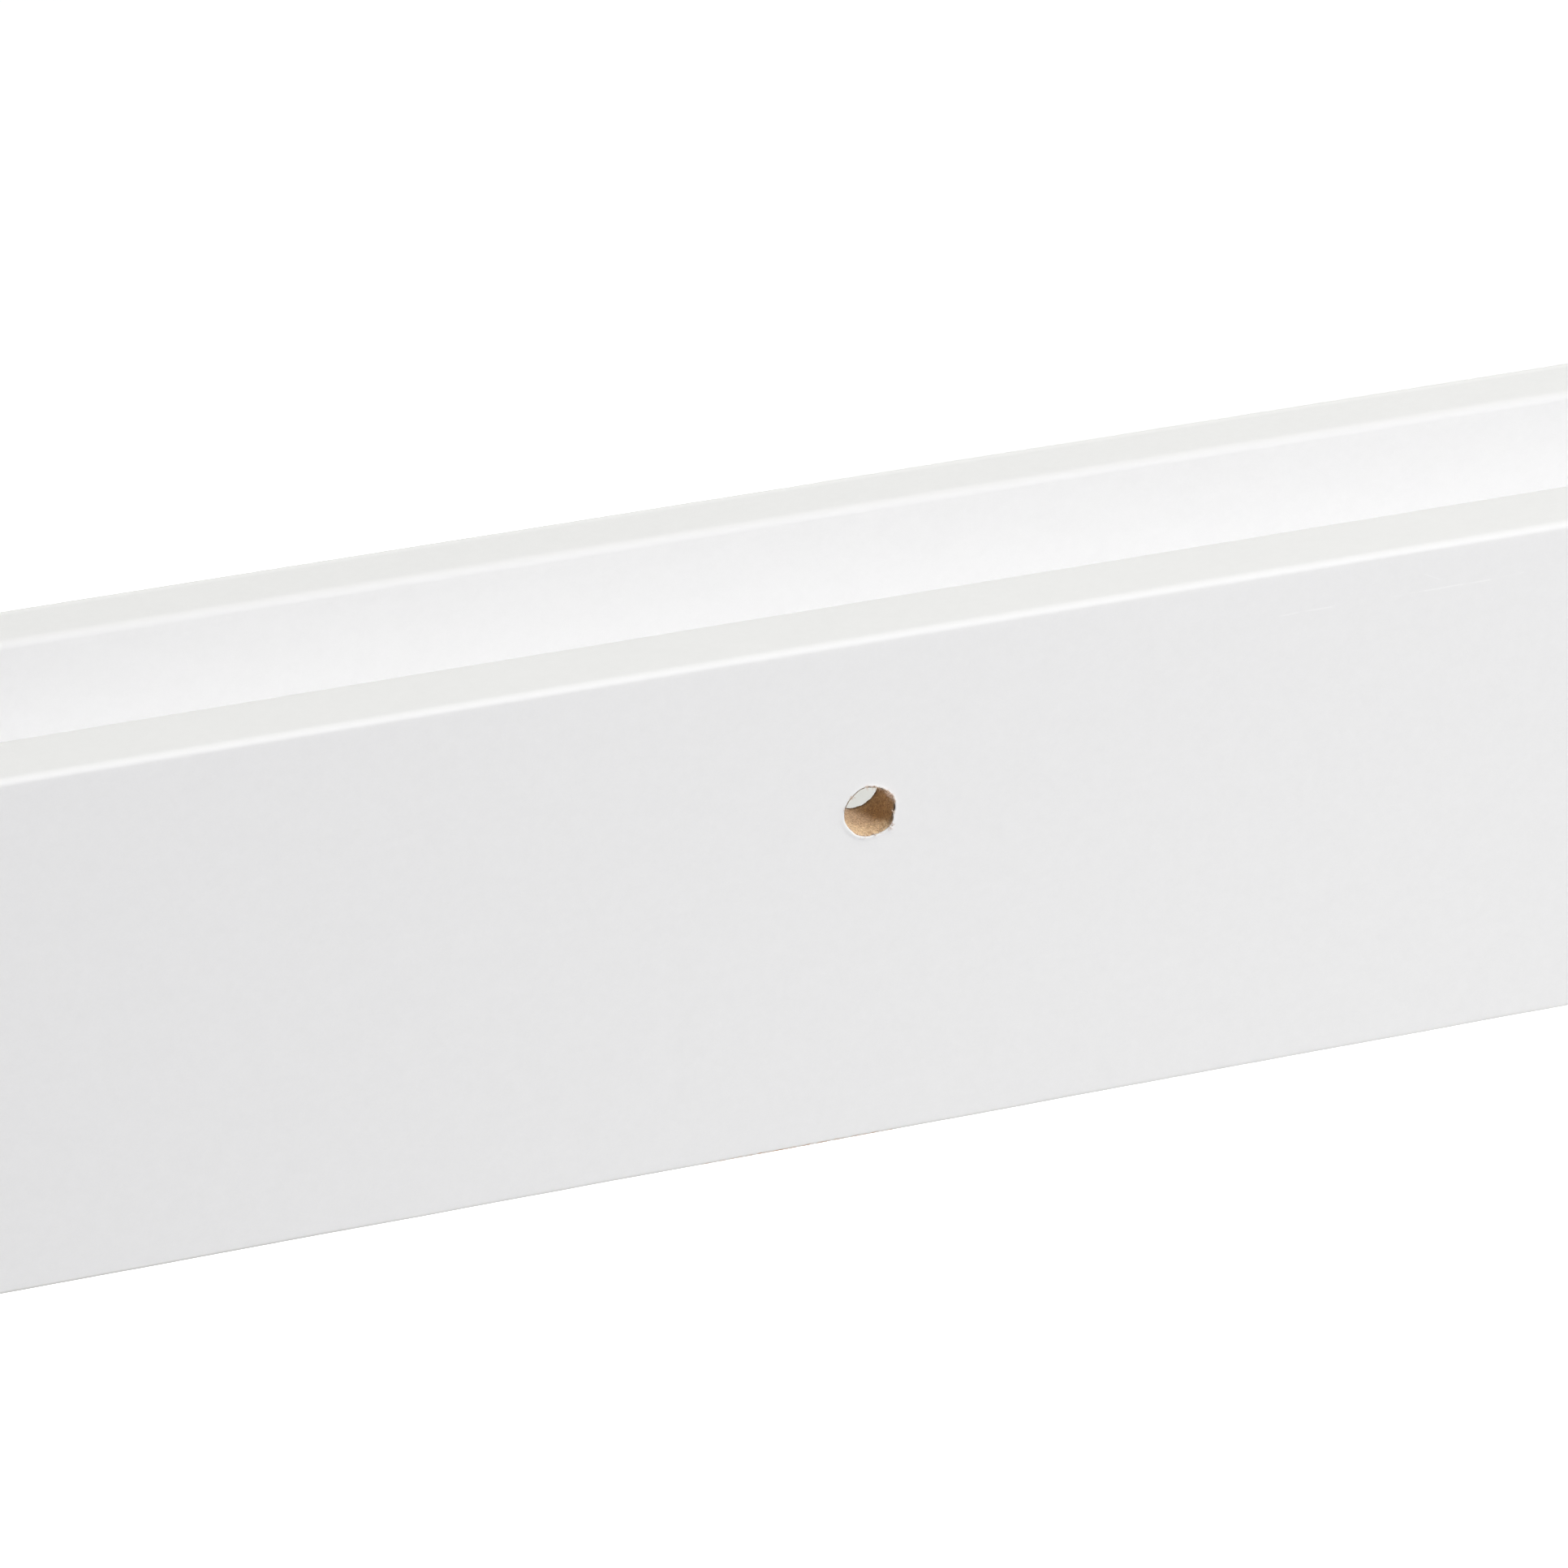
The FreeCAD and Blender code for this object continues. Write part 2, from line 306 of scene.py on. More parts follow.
@dataclass(frozen=True)
class Scuff:
    """A hairline scuff on the wall face, where the lacquer is polished and looks lighter.

    Sizes are in millimetres: start and end are (X, Z) places, and waver is how far it leaves the
    line, over a length of bend. It fades beyond the share fade of its half length, and it breaks
    where a noise with a grain of gap_length is below gap_range.
    """

    start: Point2
    end: Point2
    width: float = 0.16
    waver: float = 0.5
    strength: float = 0.55
    bend: float = 6.0
    fade: float = 0.7
    gap_length: float = 4.0
    gap_range: Point2 = (0.42, 0.56)

    def mask(self, tree: NodeTree) -> Node:
        """How much of the scuff a point shows, from 0 to 1.

        Args:
            tree: the material's tree.

        Returns:
            The node that gives the mask.
        """
        left, right = sorted((self.start, self.end))
        slope = (right[1] - left[1]) / (right[0] - left[0])
        axes = object_axes(tree)
        wander = noise_at(tree, (self.bend, UNCHANGED, UNCHANGED), 1.0)
        line = add_node(
            tree, "ShaderNodeMath",
            {"operation": "MULTIPLY_ADD", 1: -slope, 2: (slope * left[0] - left[1]) * MM},
            {0: axes.outputs["X"]},
        )
        offset = add_node(tree, "ShaderNodeMath", {"operation": "ADD"}, {0: line, 1: axes.outputs["Z"]})
        bent = add_node(
            tree, "ShaderNodeMath",
            {"operation": "MULTIPLY_ADD", 1: self.waver * MM}, {0: wander, 2: offset},
        )
        centred = add_node(
            tree, "ShaderNodeMath", {"operation": "SUBTRACT", 1: self.waver * MM / 2}, {0: bent}
        )
        distance = add_node(tree, "ShaderNodeMath", {"operation": "ABSOLUTE"}, {0: centred})
        inside = add_node(
            tree, "ShaderNodeMapRange",
            {"interpolation_type": "SMOOTHSTEP", "From Min": 0.0, "From Max": self.width * MM,
             "To Min": self.strength, "To Max": 0.0}, {"Value": distance},
        )
        middle, half = (left[0] + right[0]) / 2, (right[0] - left[0]) / 2
        away = add_node(
            tree, "ShaderNodeMath", {"operation": "SUBTRACT", 1: middle * MM}, {0: axes.outputs["X"]}
        )
        along = add_node(tree, "ShaderNodeMath", {"operation": "ABSOLUTE"}, {0: away})
        run = add_node(
            tree, "ShaderNodeMapRange",
            {"interpolation_type": "SMOOTHSTEP", "From Min": self.fade * half * MM, "From Max": half * MM,
             "To Min": 1.0, "To Max": 0.0}, {"Value": along},
        )
        gaps = add_node(
            tree, "ShaderNodeMapRange", {"From Min": self.gap_range[0], "From Max": self.gap_range[1]},
            {"Value": noise_at(tree, (self.gap_length, UNCHANGED, UNCHANGED), 2.0)},
        )
        kept = add_node(tree, "ShaderNodeMath", {"operation": "MULTIPLY"}, {0: inside, 1: run})
        return add_node(tree, "ShaderNodeMath", {"operation": "MULTIPLY"}, {0: kept, 1: gaps})


@dataclass(frozen=True)
class PaperFoil(Finish):
    """White paper foil, printed and lacquered, laminated to fibreboard.

    To the eye it is a quiet matt white: a very fine even mottle, a rare dark speck of dust under
    the lacquer and a few hairline rubs. A painted shade of grey dims the highlight on each arris
    that faces the wall: the "fold" attribute says where. A painted highlight pales the lip's front
    top edge: worn_from is the (Y, Z) place where that starts, and worn_width how soon it is full.
    cloud, mottle and grain are three sizes of unevenness in millimetres; the first and the last
    have a weight beside the second, and spread is the range of their sum from dark to light.
    """

    name: str = "lacquered_paper_foil"
    roughness: float = 0.55
    ior: float = 1.36
    relief: float = 0.006
    light: str = "#F1F1F1"
    dark: str = "#EDEDED"
    speck: str = "#B9B6B0"
    # The pale of the real hairline scuffs, also used for the painted highlight on the lip's front top edge.
    rub: str = "#FBFBFB"
    # A grey of painted shade that dims the highlight on the arrises that face the wall.
    stretched: str = "#E7E7E7"
    cloud: float = 4.0
    cloud_weight: float = 0.6
    mottle: float = 1.1
    mottle_relief: float = 4.0
    grain: float = 0.18
    grain_weight: float = 1.3
    spread: Point2 = (0.85, 2.05)
    speck_spacing: float = 17.0
    speck_radius: float = 0.13
    speck_core: float = 0.6
    speckless: float = 0.6
    scuffs: tuple[Scuff, ...] = (
        Scuff(start=(99.5, 63.6), end=(57.5, 64.0)),
        Scuff(start=(77.0, 66.3), end=(74.2, 64.9), waver=0.1, strength=0.3),
    )
    wall_face: float = 55.0
    # Where the painted highlight on the lip's front top edge begins, and how soon it is full.
    worn_from: Point2 = (-57.8, 29.0)
    worn_width: float = 1.2

    def pattern(self, tree: NodeTree) -> Pattern:
        """Draw the paper's mottle, its folds, specks, worn edge and scuffs.

        Args:
            tree: the material's tree.

        Returns:
            The pattern.
        """
        cloud = noise_at(tree, (self.cloud,) * 3, 1.0)
        mottle = noise_at(tree, (self.mottle,) * 3, 2.0)
        fine = noise_at(tree, (self.grain,) * 3, 2.0)
        pair = add_node(
            tree, "ShaderNodeMath", {"operation": "MULTIPLY_ADD", 1: self.cloud_weight},
            {0: cloud, 2: mottle},
        )
        three = add_node(
            tree, "ShaderNodeMath", {"operation": "MULTIPLY_ADD", 1: self.grain_weight},
            {0: fine, 2: pair},
        )
        paper = two_tone(tree, three, self.spread, self.dark, self.light)
        # The "fold" attribute carries painted shade that dims the arris highlights.
        bent = add_node(tree, "ShaderNodeAttribute", {"attribute_name": "fold"})
        relief = add_node(
            tree, "ShaderNodeMath", {"operation": "MULTIPLY_ADD", 1: self.mottle_relief},
            {0: mottle, 2: fine},
        )
        layers = (
            (self.stretched, bent.outputs["Fac"]), (self.speck, self.specks(tree)),
            # The first pale layer is a painted highlight on the lip's front top edge; the second is the
            # scuffs.
            (self.rub, self.worn_edge(tree)), (self.rub, self.rubs(tree)),
        )
        return Pattern(paper, layers, relief)

    def specks(self, tree: NodeTree) -> Node:
        """Dust specks under the lacquer, in about every third cell of a Voronoi pattern.

        Args:
            tree: the material's tree.

        Returns:
            The node that gives their mask.
        """
        place = add_node(tree, "ShaderNodeTexCoord")
        cells = add_node(
            tree, "ShaderNodeTexVoronoi", {"Scale": 1 / (self.speck_spacing * MM)},
            {"Vector": place.outputs["Object"]},
        )
        radius = self.speck_radius / self.speck_spacing
        dot = add_node(
            tree, "ShaderNodeMapRange",
            {"From Min": radius * self.speck_core, "From Max": radius, "To Min": 1.0, "To Max": 0.0},
            {"Value": cells.outputs["Distance"]},
        )
        pick = add_node(tree, "ShaderNodeSeparateColor", links={"Color": cells.outputs["Color"]})
        some = add_node(
            tree, "ShaderNodeMath", {"operation": "GREATER_THAN", 1: self.speckless},
            {0: pick.outputs["Red"]},
        )
        return add_node(tree, "ShaderNodeMath", {"operation": "MULTIPLY"}, {0: dot, 1: some})

    def worn_edge(self, tree: NodeTree) -> Node:
        """The lip's front top edge, paled by a painted highlight.

        Args:
            tree: the material's tree.

        Returns:
            The node that gives its mask.
        """
        axes = object_axes(tree)
        start, level = self.worn_from
        near_edge = add_node(
            tree, "ShaderNodeMapRange",
            {"From Min": start * MM, "From Max": (start - self.worn_width) * MM},
            {"Value": axes.outputs["Y"]},
        )
        on_top = add_node(
            tree, "ShaderNodeMath", {"operation": "GREATER_THAN", 1: level * MM}, {0: axes.outputs["Z"]}
        )
        return add_node(tree, "ShaderNodeMath", {"operation": "MULTIPLY"}, {0: near_edge, 1: on_top})

    def rubs(self, tree: NodeTree) -> Node:
        """The hairline rubs, on the wall face alone.

        Args:
            tree: the material's tree.

        Returns:
            The node that gives their mask.
        """
        axes = object_axes(tree)
        on_wall_face = add_node(
            tree, "ShaderNodeMath", {"operation": "GREATER_THAN", 1: self.wall_face * MM},
            {0: axes.outputs["Y"]},
        )
        seen = self.scuffs[0].mask(tree)
        for scuff in self.scuffs[1:]:
            seen = add_node(
                tree, "ShaderNodeMath", {"operation": "MAXIMUM"}, {0: seen, 1: scuff.mask(tree)}
            )
        return add_node(tree, "ShaderNodeMath", {"operation": "MULTIPLY"}, {0: seen, 1: on_wall_face})


@dataclass(frozen=True)
class EdgeBand(Finish):
    """White lacquered edge band, ironed on and trimmed flush.

    To the eye it is the foil's white a touch smoother. Painted shade greys its trimmed arris in places,
    and it can be worn through to the brown board: the "soil" and "bare" attributes say where.
    """

    name: str = "lacquered_edge_band"
    roughness: float = 0.4
    ior: float = 1.5
    relief: float = 0.005
    bump: float = 0.4
    light: str = "#F0F0EF"
    dark: str = "#EBEBE9"
    bare: str = "#B98F68"
    # A grey of painted shade on the band's lower arris.
    soiled: str = "#C9C8C4"
    streak: Point2 = (45.0, 0.6)
    mottle: float = 2.4
    spread: Point2 = (0.7, 1.3)
    ragged: tuple[float, float, float] = (0.9, 0.2, 0.2)
    rubbed_through: Point2 = (0.25, 0.5)

    def pattern(self, tree: NodeTree) -> Pattern:
        """Draw the band's streaks and its soiled and rubbed arris.

        Args:
            tree: the material's tree.

        Returns:
            The pattern.
        """
        mottle = noise_at(tree, (self.mottle,) * 3, 2.0)
        streaks = noise_at(tree, (self.streak[0], self.streak[1], self.streak[1]), 2.0)
        both = add_node(tree, "ShaderNodeMath", {"operation": "ADD"}, {0: mottle, 1: streaks})
        paper = two_tone(tree, both, self.spread, self.dark, self.light)
        # The "soil" attribute carries painted shade on the lower arris.
        band_shaded = add_node(tree, "ShaderNodeAttribute", {"attribute_name": "soil"})
        worn = add_node(tree, "ShaderNodeAttribute", {"attribute_name": "bare"})
        ragged = noise_at(tree, self.ragged, 2.0)
        arris_marks = add_node(
            tree, "ShaderNodeMath", {"operation": "MULTIPLY"}, {0: worn.outputs["Fac"], 1: ragged}
        )
        through = add_node(
            tree, "ShaderNodeMapRange",
            {"From Min": self.rubbed_through[0], "From Max": self.rubbed_through[1]}, {"Value": arris_marks},
        )
        return Pattern(paper, ((self.soiled, band_shaded.outputs["Fac"]), (self.bare, through)), mottle)


@dataclass(frozen=True)
class RawFibreboard(Finish):
    """Cut medium-density fibreboard: felted wood fibres and resin.

    To the eye it is a matt light brown felt with pale fibre ends and small dark specks of bark. Painted
    shade darkens it at a bore's mouth and where its straight part ends: the "scorch" attribute says where.
    """

    name: str = "raw_fibreboard"
    roughness: float = 0.92
    ior: float = 1.45
    relief: float = 0.035
    bump: float = 0.7
    pale: str = "#FBE0B7"
    mid: str = "#BA9A7C"
    dark: str = "#7F6048"
    # The dark of the painted shade in the bores.
    scorched: str = "#45352A"
    clump: float = 0.3
    fibre: tuple[float, float, float] = (0.18, 0.13, 0.13)
    fibre_turn: float = 35.0
    spread: Point2 = (0.7, 1.3)
    speck: float = 0.2
    speck_range: Point2 = (0.66, 0.76)
    speck_strength: float = 0.8

    def pattern(self, tree: NodeTree) -> Pattern:
        """Draw the felt, its bark specks and its painted shade.

        Args:
            tree: the material's tree.

        Returns:
            The pattern.
        """
        clumps = noise_at(tree, (self.clump,) * 3, 2.0)
        fibres = noise_at(tree, self.fibre, 1.0, turn=self.fibre_turn)
        both = add_node(tree, "ShaderNodeMath", {"operation": "ADD"}, {0: clumps, 1: fibres})
        felt = two_tone(tree, both, self.spread, self.mid, self.pale)
        bark = noise_at(tree, (self.speck,) * 3, 2.0)
        low, high = self.speck_range
        specks = add_node(
            tree, "ShaderNodeMapRange",
            {"From Min": low, "From Max": high, "To Max": self.speck_strength}, {"Value": bark},
        )
        # The "scorch" attribute carries painted shade at a bore's mouth and where its straight part ends.
        bore_shaded = add_node(tree, "ShaderNodeAttribute", {"attribute_name": "scorch"})
        return Pattern(felt, ((self.dark, specks), (self.scorched, bore_shaded.outputs["Fac"])), both)


@dataclass(frozen=True)
class TornFibre(Finish):
    """Loose wood fibre and torn paper at the rim of a drilled hole: pale, pinkish and dull."""

    name: str = "torn_fibre"
    roughness: float = 0.9
    ior: float = 1.45
    pale: str = "#EEDDD0"
    brown: str = "#C9A98A"
    patch: float = 0.35
    spread: Point2 = (0.38, 0.62)

    def pattern(self, tree: NodeTree) -> Pattern:
        """Draw its pale and brown patches.

        Args:
            tree: the material's tree.

        Returns:
            The pattern, which has no relief.
        """
        patches = noise_at(tree, (self.patch,) * 3, 1.0)
        return Pattern(two_tone(tree, patches, self.spread, self.brown, self.pale))


@dataclass(frozen=True)
class TurnedBeech(Finish):
    """Turned beech: an even pinkish tan with short dark ray flecks along the grain."""

    name: str = "turned_beech"
    roughness: float = 0.6
    ior: float = 1.5
    relief: float = 0.03
    pale: str = "#DDBB95"
    mid: str = "#C79E75"
    fleck: str = "#8E6443"
    grain: tuple[float, float, float] = (0.5, 14.0, 0.5)
    ray: tuple[float, float, float] = (0.25, 1.6, 0.25)
    ray_range: Point2 = (0.64, 0.72)
    ray_strength: float = 0.7

    def pattern(self, tree: NodeTree) -> Pattern:
        """Draw its grain and its ray flecks.

        Args:
            tree: the material's tree.

        Returns:
            The pattern.
        """
        grain = noise_at(tree, self.grain, 3.0)
        wood = add_node(
            tree, "ShaderNodeMix",
            {"data_type": "RGBA", "A_Color": linear(self.mid), "B_Color": linear(self.pale)},
            {"Factor_Float": grain},
        )
        rays = noise_at(tree, self.ray, 1.0)
        low, high = self.ray_range
        flecks = add_node(
            tree, "ShaderNodeMapRange", {"From Min": low, "From Max": high, "To Max": self.ray_strength},
            {"Value": rays},
        )
        return Pattern(wood.outputs[2], ((self.fleck, flecks),), grain)


@dataclass(frozen=True)
class Finishes:
    """The ledge's finishes, each as a material that its pieces share."""

    foil: Material
    band: Material
    board: Material
    fibre: Material
    beech: Material

    @classmethod
    def mixed(cls) -> "Finishes":
        """All the finishes of this ledge.

        Returns:
            The finishes.
        """
        kinds = (PaperFoil(), EdgeBand(), RawFibreboard(), TornFibre(), TurnedBeech())
        return cls(*(finish.material() for finish in kinds))


# --------------------------------------------------------------------------- shapes shared by pieces


def mark(mesh: Mesh, name: str, values: Sequence[float]) -> None:
    """Give each point of a mesh its value of an attribute."""
    mesh.attributes.new(name, "FLOAT", "POINT").data.foreach_set("value", values)


def in_scene(name: str, data: ID) -> Object:
    """Put a mesh, a lamp or a camera into the scene as an object."""
    thing = bpy.data.objects.new(name, data)
    bpy.context.scene.collection.objects.link(thing)
    return thing


@dataclass(frozen=True)
class Section:
    """An outline across the ledge, in millimetres, as (Y, Z) points.

    give says, for each point, how much of a sweep's wander it takes, from 0 to 1.
    """

    points: tuple[Point2, ...]
    give: tuple[float, ...]
    closed: bool

    def mesh(self) -> Mesh:
        """The outline as a wire, laid out as a sweep along +X reads it.

        Curve to Mesh puts a section's X along -Y and its Y along -Z on a line that runs along +X.

        Returns:
            The wire mesh, in metres.
        """
        count = len(self.points)
        edges = [(index, index + 1) for index in range(count - 1)]
        if self.closed:
            edges.append((count - 1, 0))
        wire = bpy.data.meshes.new("section")
        wire.from_pydata([(-y * MM, -z * MM, 0) for y, z in self.points], edges, [])
        mark(wire, "give", self.give)
        return wire


@dataclass(frozen=True)
class Corner:
    """A pressed corner between two faces, from the way that its surface turns.

    turns holds (degrees turned, length in millimetres) along the curve; a corner is drawn from a
    face whose normal is at start degrees, where 90 is up and 0 is outwards.
    """

    start: float
    turns: tuple[Point2, ...]
    steps: int = 3

    def curve(self) -> list[Point2]:
        """The corner's points, across and up, from its first point at the origin.

        Returns:
            The points.
        """
        across, up, angle = 0.0, 0.0, self.start
        points = [(across, up)]
        for turn, length in self.turns:
            for step in range(self.steps):
                tangent = math.radians(angle - turn * (step + 0.5) / self.steps)
                across += math.sin(tangent) * length / self.steps
                up -= math.cos(tangent) * length / self.steps
                points.append((across, up))
            angle -= turn
        return points


RAIL_ARRIS = Corner(90, ((6, 0.25), (24, 0.45), (26, 0.4), (20, 0.24), (9, 0.14), (5, 0.3)))
RAIL_INNER_ARRIS = Corner(90, ((12, 0.2), (24, 0.28), (26, 0.33), (20, 0.26), (8, 0.19)))
LIP_ARRIS = Corner(90, ((5, 0.3), (11, 0.38), (20, 0.42), (22, 0.4), (20, 0.32), (12, 0.22)))
FOOT_ARRIS = Corner(0, ((8, 0.3), (14, 0.16), (12, 0.05), (56, 0.05)))


class Outline:
    """A section being drawn, point by point, in coordinates across an upright."""

    def __init__(self, to_y: Callable[[float], float]) -> None:
        """An empty outline; to_y turns a distance across the upright into Y."""
        self.to_y = to_y
        self.points: list[Point2] = []
        self.give: list[float] = []

    def to(self, across: float, up: float, give: float = 0.0) -> "Outline":
        """Draw a straight line to a point."""
        self.points.append((self.to_y(across), up))
        self.give.append(give)
        return self

    def follow(self, points: Sequence[Point2]) -> "Outline":
        """Draw a curve whose middle may wander."""
        last = len(points) - 1
        for index, (across, up) in enumerate(points):
            self.to(across, up, math.sin(math.pi * index / last))
        return self

    def section(self, closed: bool) -> Section:
        """The finished section."""
        return Section(tuple(self.points), tuple(self.give), closed)


def applied(carrier: Object) -> Mesh:
    """The mesh that an object's modifiers make, after which the object is gone.

    Args:
        carrier: an object at the origin, with its modifiers.

    Returns:
        The evaluated mesh.
    """
    graph = bpy.context.evaluated_depsgraph_get()
    mesh = bpy.data.meshes.new_from_object(carrier.evaluated_get(graph))
    carrier.modifiers.clear()
    bpy.data.objects.remove(carrier)
    return mesh


class GeometryTree:
    """A Geometry Nodes tree with named inputs, which makes one mesh from another."""

    def __init__(self, name: str, inputs: dict[str, str]) -> None:
        """Start the tree.

        Args:
            name: the tree's name.
            inputs: each input's name and socket type, between the geometry and the material.
        """
        self.tree = bpy.data.node_groups.new(name, "GeometryNodeTree")
        sockets = {"Geometry": "NodeSocketGeometry", **inputs, "Material": "NodeSocketMaterial"}
        for label, kind in sockets.items():
            self.tree.interface.new_socket(label, in_out="INPUT", socket_type=kind)
        self.tree.interface.new_socket("Geometry", in_out="OUTPUT", socket_type="NodeSocketGeometry")
        self.given = self.add("NodeGroupInput").outputs

    def add(self, kind: str, settings: dict | None = None, links: dict | None = None) -> Node:
        """Add one node to this tree, as add_node does."""
        return add_node(self.tree, kind, settings, links)

    def end(self, shape: Node) -> None:
        """End the tree in real geometry with its material.

        Args:
            shape: the node whose geometry is the result.
        """
        real = self.add("GeometryNodeRealizeInstances", links={"Geometry": shape})
        dressed = self.add(
            "GeometryNodeSetMaterial", links={"Geometry": real, "Material": self.given["Material"]}
        )
        self.add("NodeGroupOutput", links={"Geometry": dressed})

    def run(self, base: Mesh, values: dict[str, object]) -> Mesh:
        """Run the tree on a mesh and keep the result as a plain mesh.

        Args:
            base: the mesh that the tree reads.
            values: the tree's inputs by name.

        Returns:
            The resulting mesh.
        """
        carrier = in_scene("carrier", base)
        modifier = carrier.modifiers.new("nodes", "NODES")
        modifier.node_group = self.tree
        for item in self.tree.interface.items_tree:
            if item.item_type == "SOCKET" and item.in_out == "INPUT" and item.name in values:
                modifier[item.identifier] = values[item.name]
        return applied(carrier)


class SweepTree(GeometryTree):
    """Draws a section along the ledge and lets its rounded corners wander, as wrapped edges do."""

    wander_length = 22.0
    ripple_length = 3.5

    def __init__(self) -> None:
        """Build the tree."""
        super().__init__("section_sweep", {
            "Length": "NodeSocketFloat",
            "Stations": "NodeSocketInt",
            "Wander": "NodeSocketFloat",
            "Wander Length": "NodeSocketFloat",
            "Ripple": "NodeSocketFloat",
            "Ripple Length": "NodeSocketFloat",
            "Seed": "NodeSocketFloat",
        })
        given = self.given
        half = self.add("ShaderNodeMath", {"operation": "MULTIPLY", 1: 0.5}, {0: given["Length"]})
        minus = self.add("ShaderNodeMath", {"operation": "MULTIPLY", 1: -0.5}, {0: given["Length"]})
        start = self.add("ShaderNodeCombineXYZ", links={"X": minus})
        end = self.add("ShaderNodeCombineXYZ", links={"X": half})
        line = self.add("GeometryNodeCurvePrimitiveLine", links={"Start": start, "End": end})
        path = self.add("GeometryNodeResampleCurve", links={"Curve": line, "Count": given["Stations"]})
        section = self.add("GeometryNodeMeshToCurve", links={"Mesh": given["Geometry"]})
        swept = self.add(
            "GeometryNodeCurveToMesh", {"Fill Caps": True}, {"Curve": path, "Profile Curve": section}
        )
        give = self.add("GeometryNodeInputNamedAttribute", {"data_type": "FLOAT", "Name": "give"})
        slow = self.offset(given["Wander"], given["Wander Length"], given["Seed"])
        quick = self.offset(given["Ripple"], given["Ripple Length"], given["Seed"])
        both = self.add("ShaderNodeMath", {"operation": "ADD"}, {0: slow, 1: quick})
        taken = self.add("ShaderNodeMath", {"operation": "MULTIPLY"}, {0: both, 1: give.outputs[0]})
        outward = self.add("GeometryNodeInputNormal")
        move = self.add("ShaderNodeVectorMath", {"operation": "SCALE"}, {0: outward, "Scale": taken})
        moved = self.add("GeometryNodeSetPosition", links={"Geometry": swept, "Offset": move})
        self.end(moved)

    def offset(self, height: NodeSocket, length: NodeSocket, seed: NodeSocket) -> Node:
        """A wander of one wavelength, as a distance along the surface normal.

        Args:
            height: how far it goes, in metres.
            length: its wavelength, in metres.
            seed: moves the pattern.

        Returns:
            The node that gives the distance.
        """
        place = self.add("GeometryNodeInputPosition")
        scale = self.add("ShaderNodeMath", {"operation": "DIVIDE", 0: 1.0}, {1: length})
        pattern = self.add(
            "ShaderNodeTexNoise", {"noise_dimensions": "4D", "Detail": 1.0},
            {"Vector": place, "W": seed, "Scale": scale},
        )
        centred = self.add("ShaderNodeMath", {"operation": "SUBTRACT", 1: 0.5}, {0: pattern})
        return self.add("ShaderNodeMath", {"operation": "MULTIPLY"}, {0: centred, 1: height})

    def sweep(
        self, section: Section, length: float, material: Material, seed: float,
        stations: int = 276, wander: float = 0.05, ripple: float = 0.02,
    ) -> Mesh:
        """Draw one section along the ledge.

        Args:
            section: the outline.
            length: how long the piece is, in millimetres.
            material: its finish.
            seed: moves its wander.
            stations: sections along it.
            wander: how far the slow wander goes, in millimetres.
            ripple: how far the quick one goes.

        Returns:
            The mesh, with its faces outwards.
        """
        mesh = self.run(section.mesh(), {
            "Length": length * MM,
            "Stations": stations,
            "Wander": wander * MM,
            "Wander Length": self.wander_length * MM,
            "Ripple": ripple * MM,
            "Ripple Length": self.ripple_length * MM,
            "Seed": seed,
            "Material": material,
        })
        mesh.attributes.remove(mesh.attributes["give"])
        return mesh


class RowTree(GeometryTree):
    """Repeats a shape along the ledge at an even pitch, each copy turned by some more degrees."""

    turn = 47

    def __init__(self) -> None:
        """Build the tree."""
        super().__init__("even_row", {
            "Count": "NodeSocketInt",
            "Pitch": "NodeSocketFloat",
            "First": "NodeSocketVector",
        })
        given = self.given
        step = self.add("ShaderNodeCombineXYZ", links={"X": given["Pitch"]})
        line = self.add(
            "GeometryNodeMeshLine", {"mode": "OFFSET"},
            {"Count": given["Count"], "Start Location": given["First"], "Offset": step},
        )
        turns = self.add("GeometryNodeInputIndex")
        angle = self.add(
            "ShaderNodeMath", {"operation": "MULTIPLY", 1: math.radians(self.turn)}, {0: turns}
        )
        turned = self.add("ShaderNodeCombineXYZ", links={"Y": angle})
        rotation = self.add("FunctionNodeEulerToRotation", links={"Euler": turned})
        copies = self.add(
            "GeometryNodeInstanceOnPoints",
            links={"Points": line, "Instance": given["Geometry"], "Rotation": rotation},
        )
        self.end(copies)


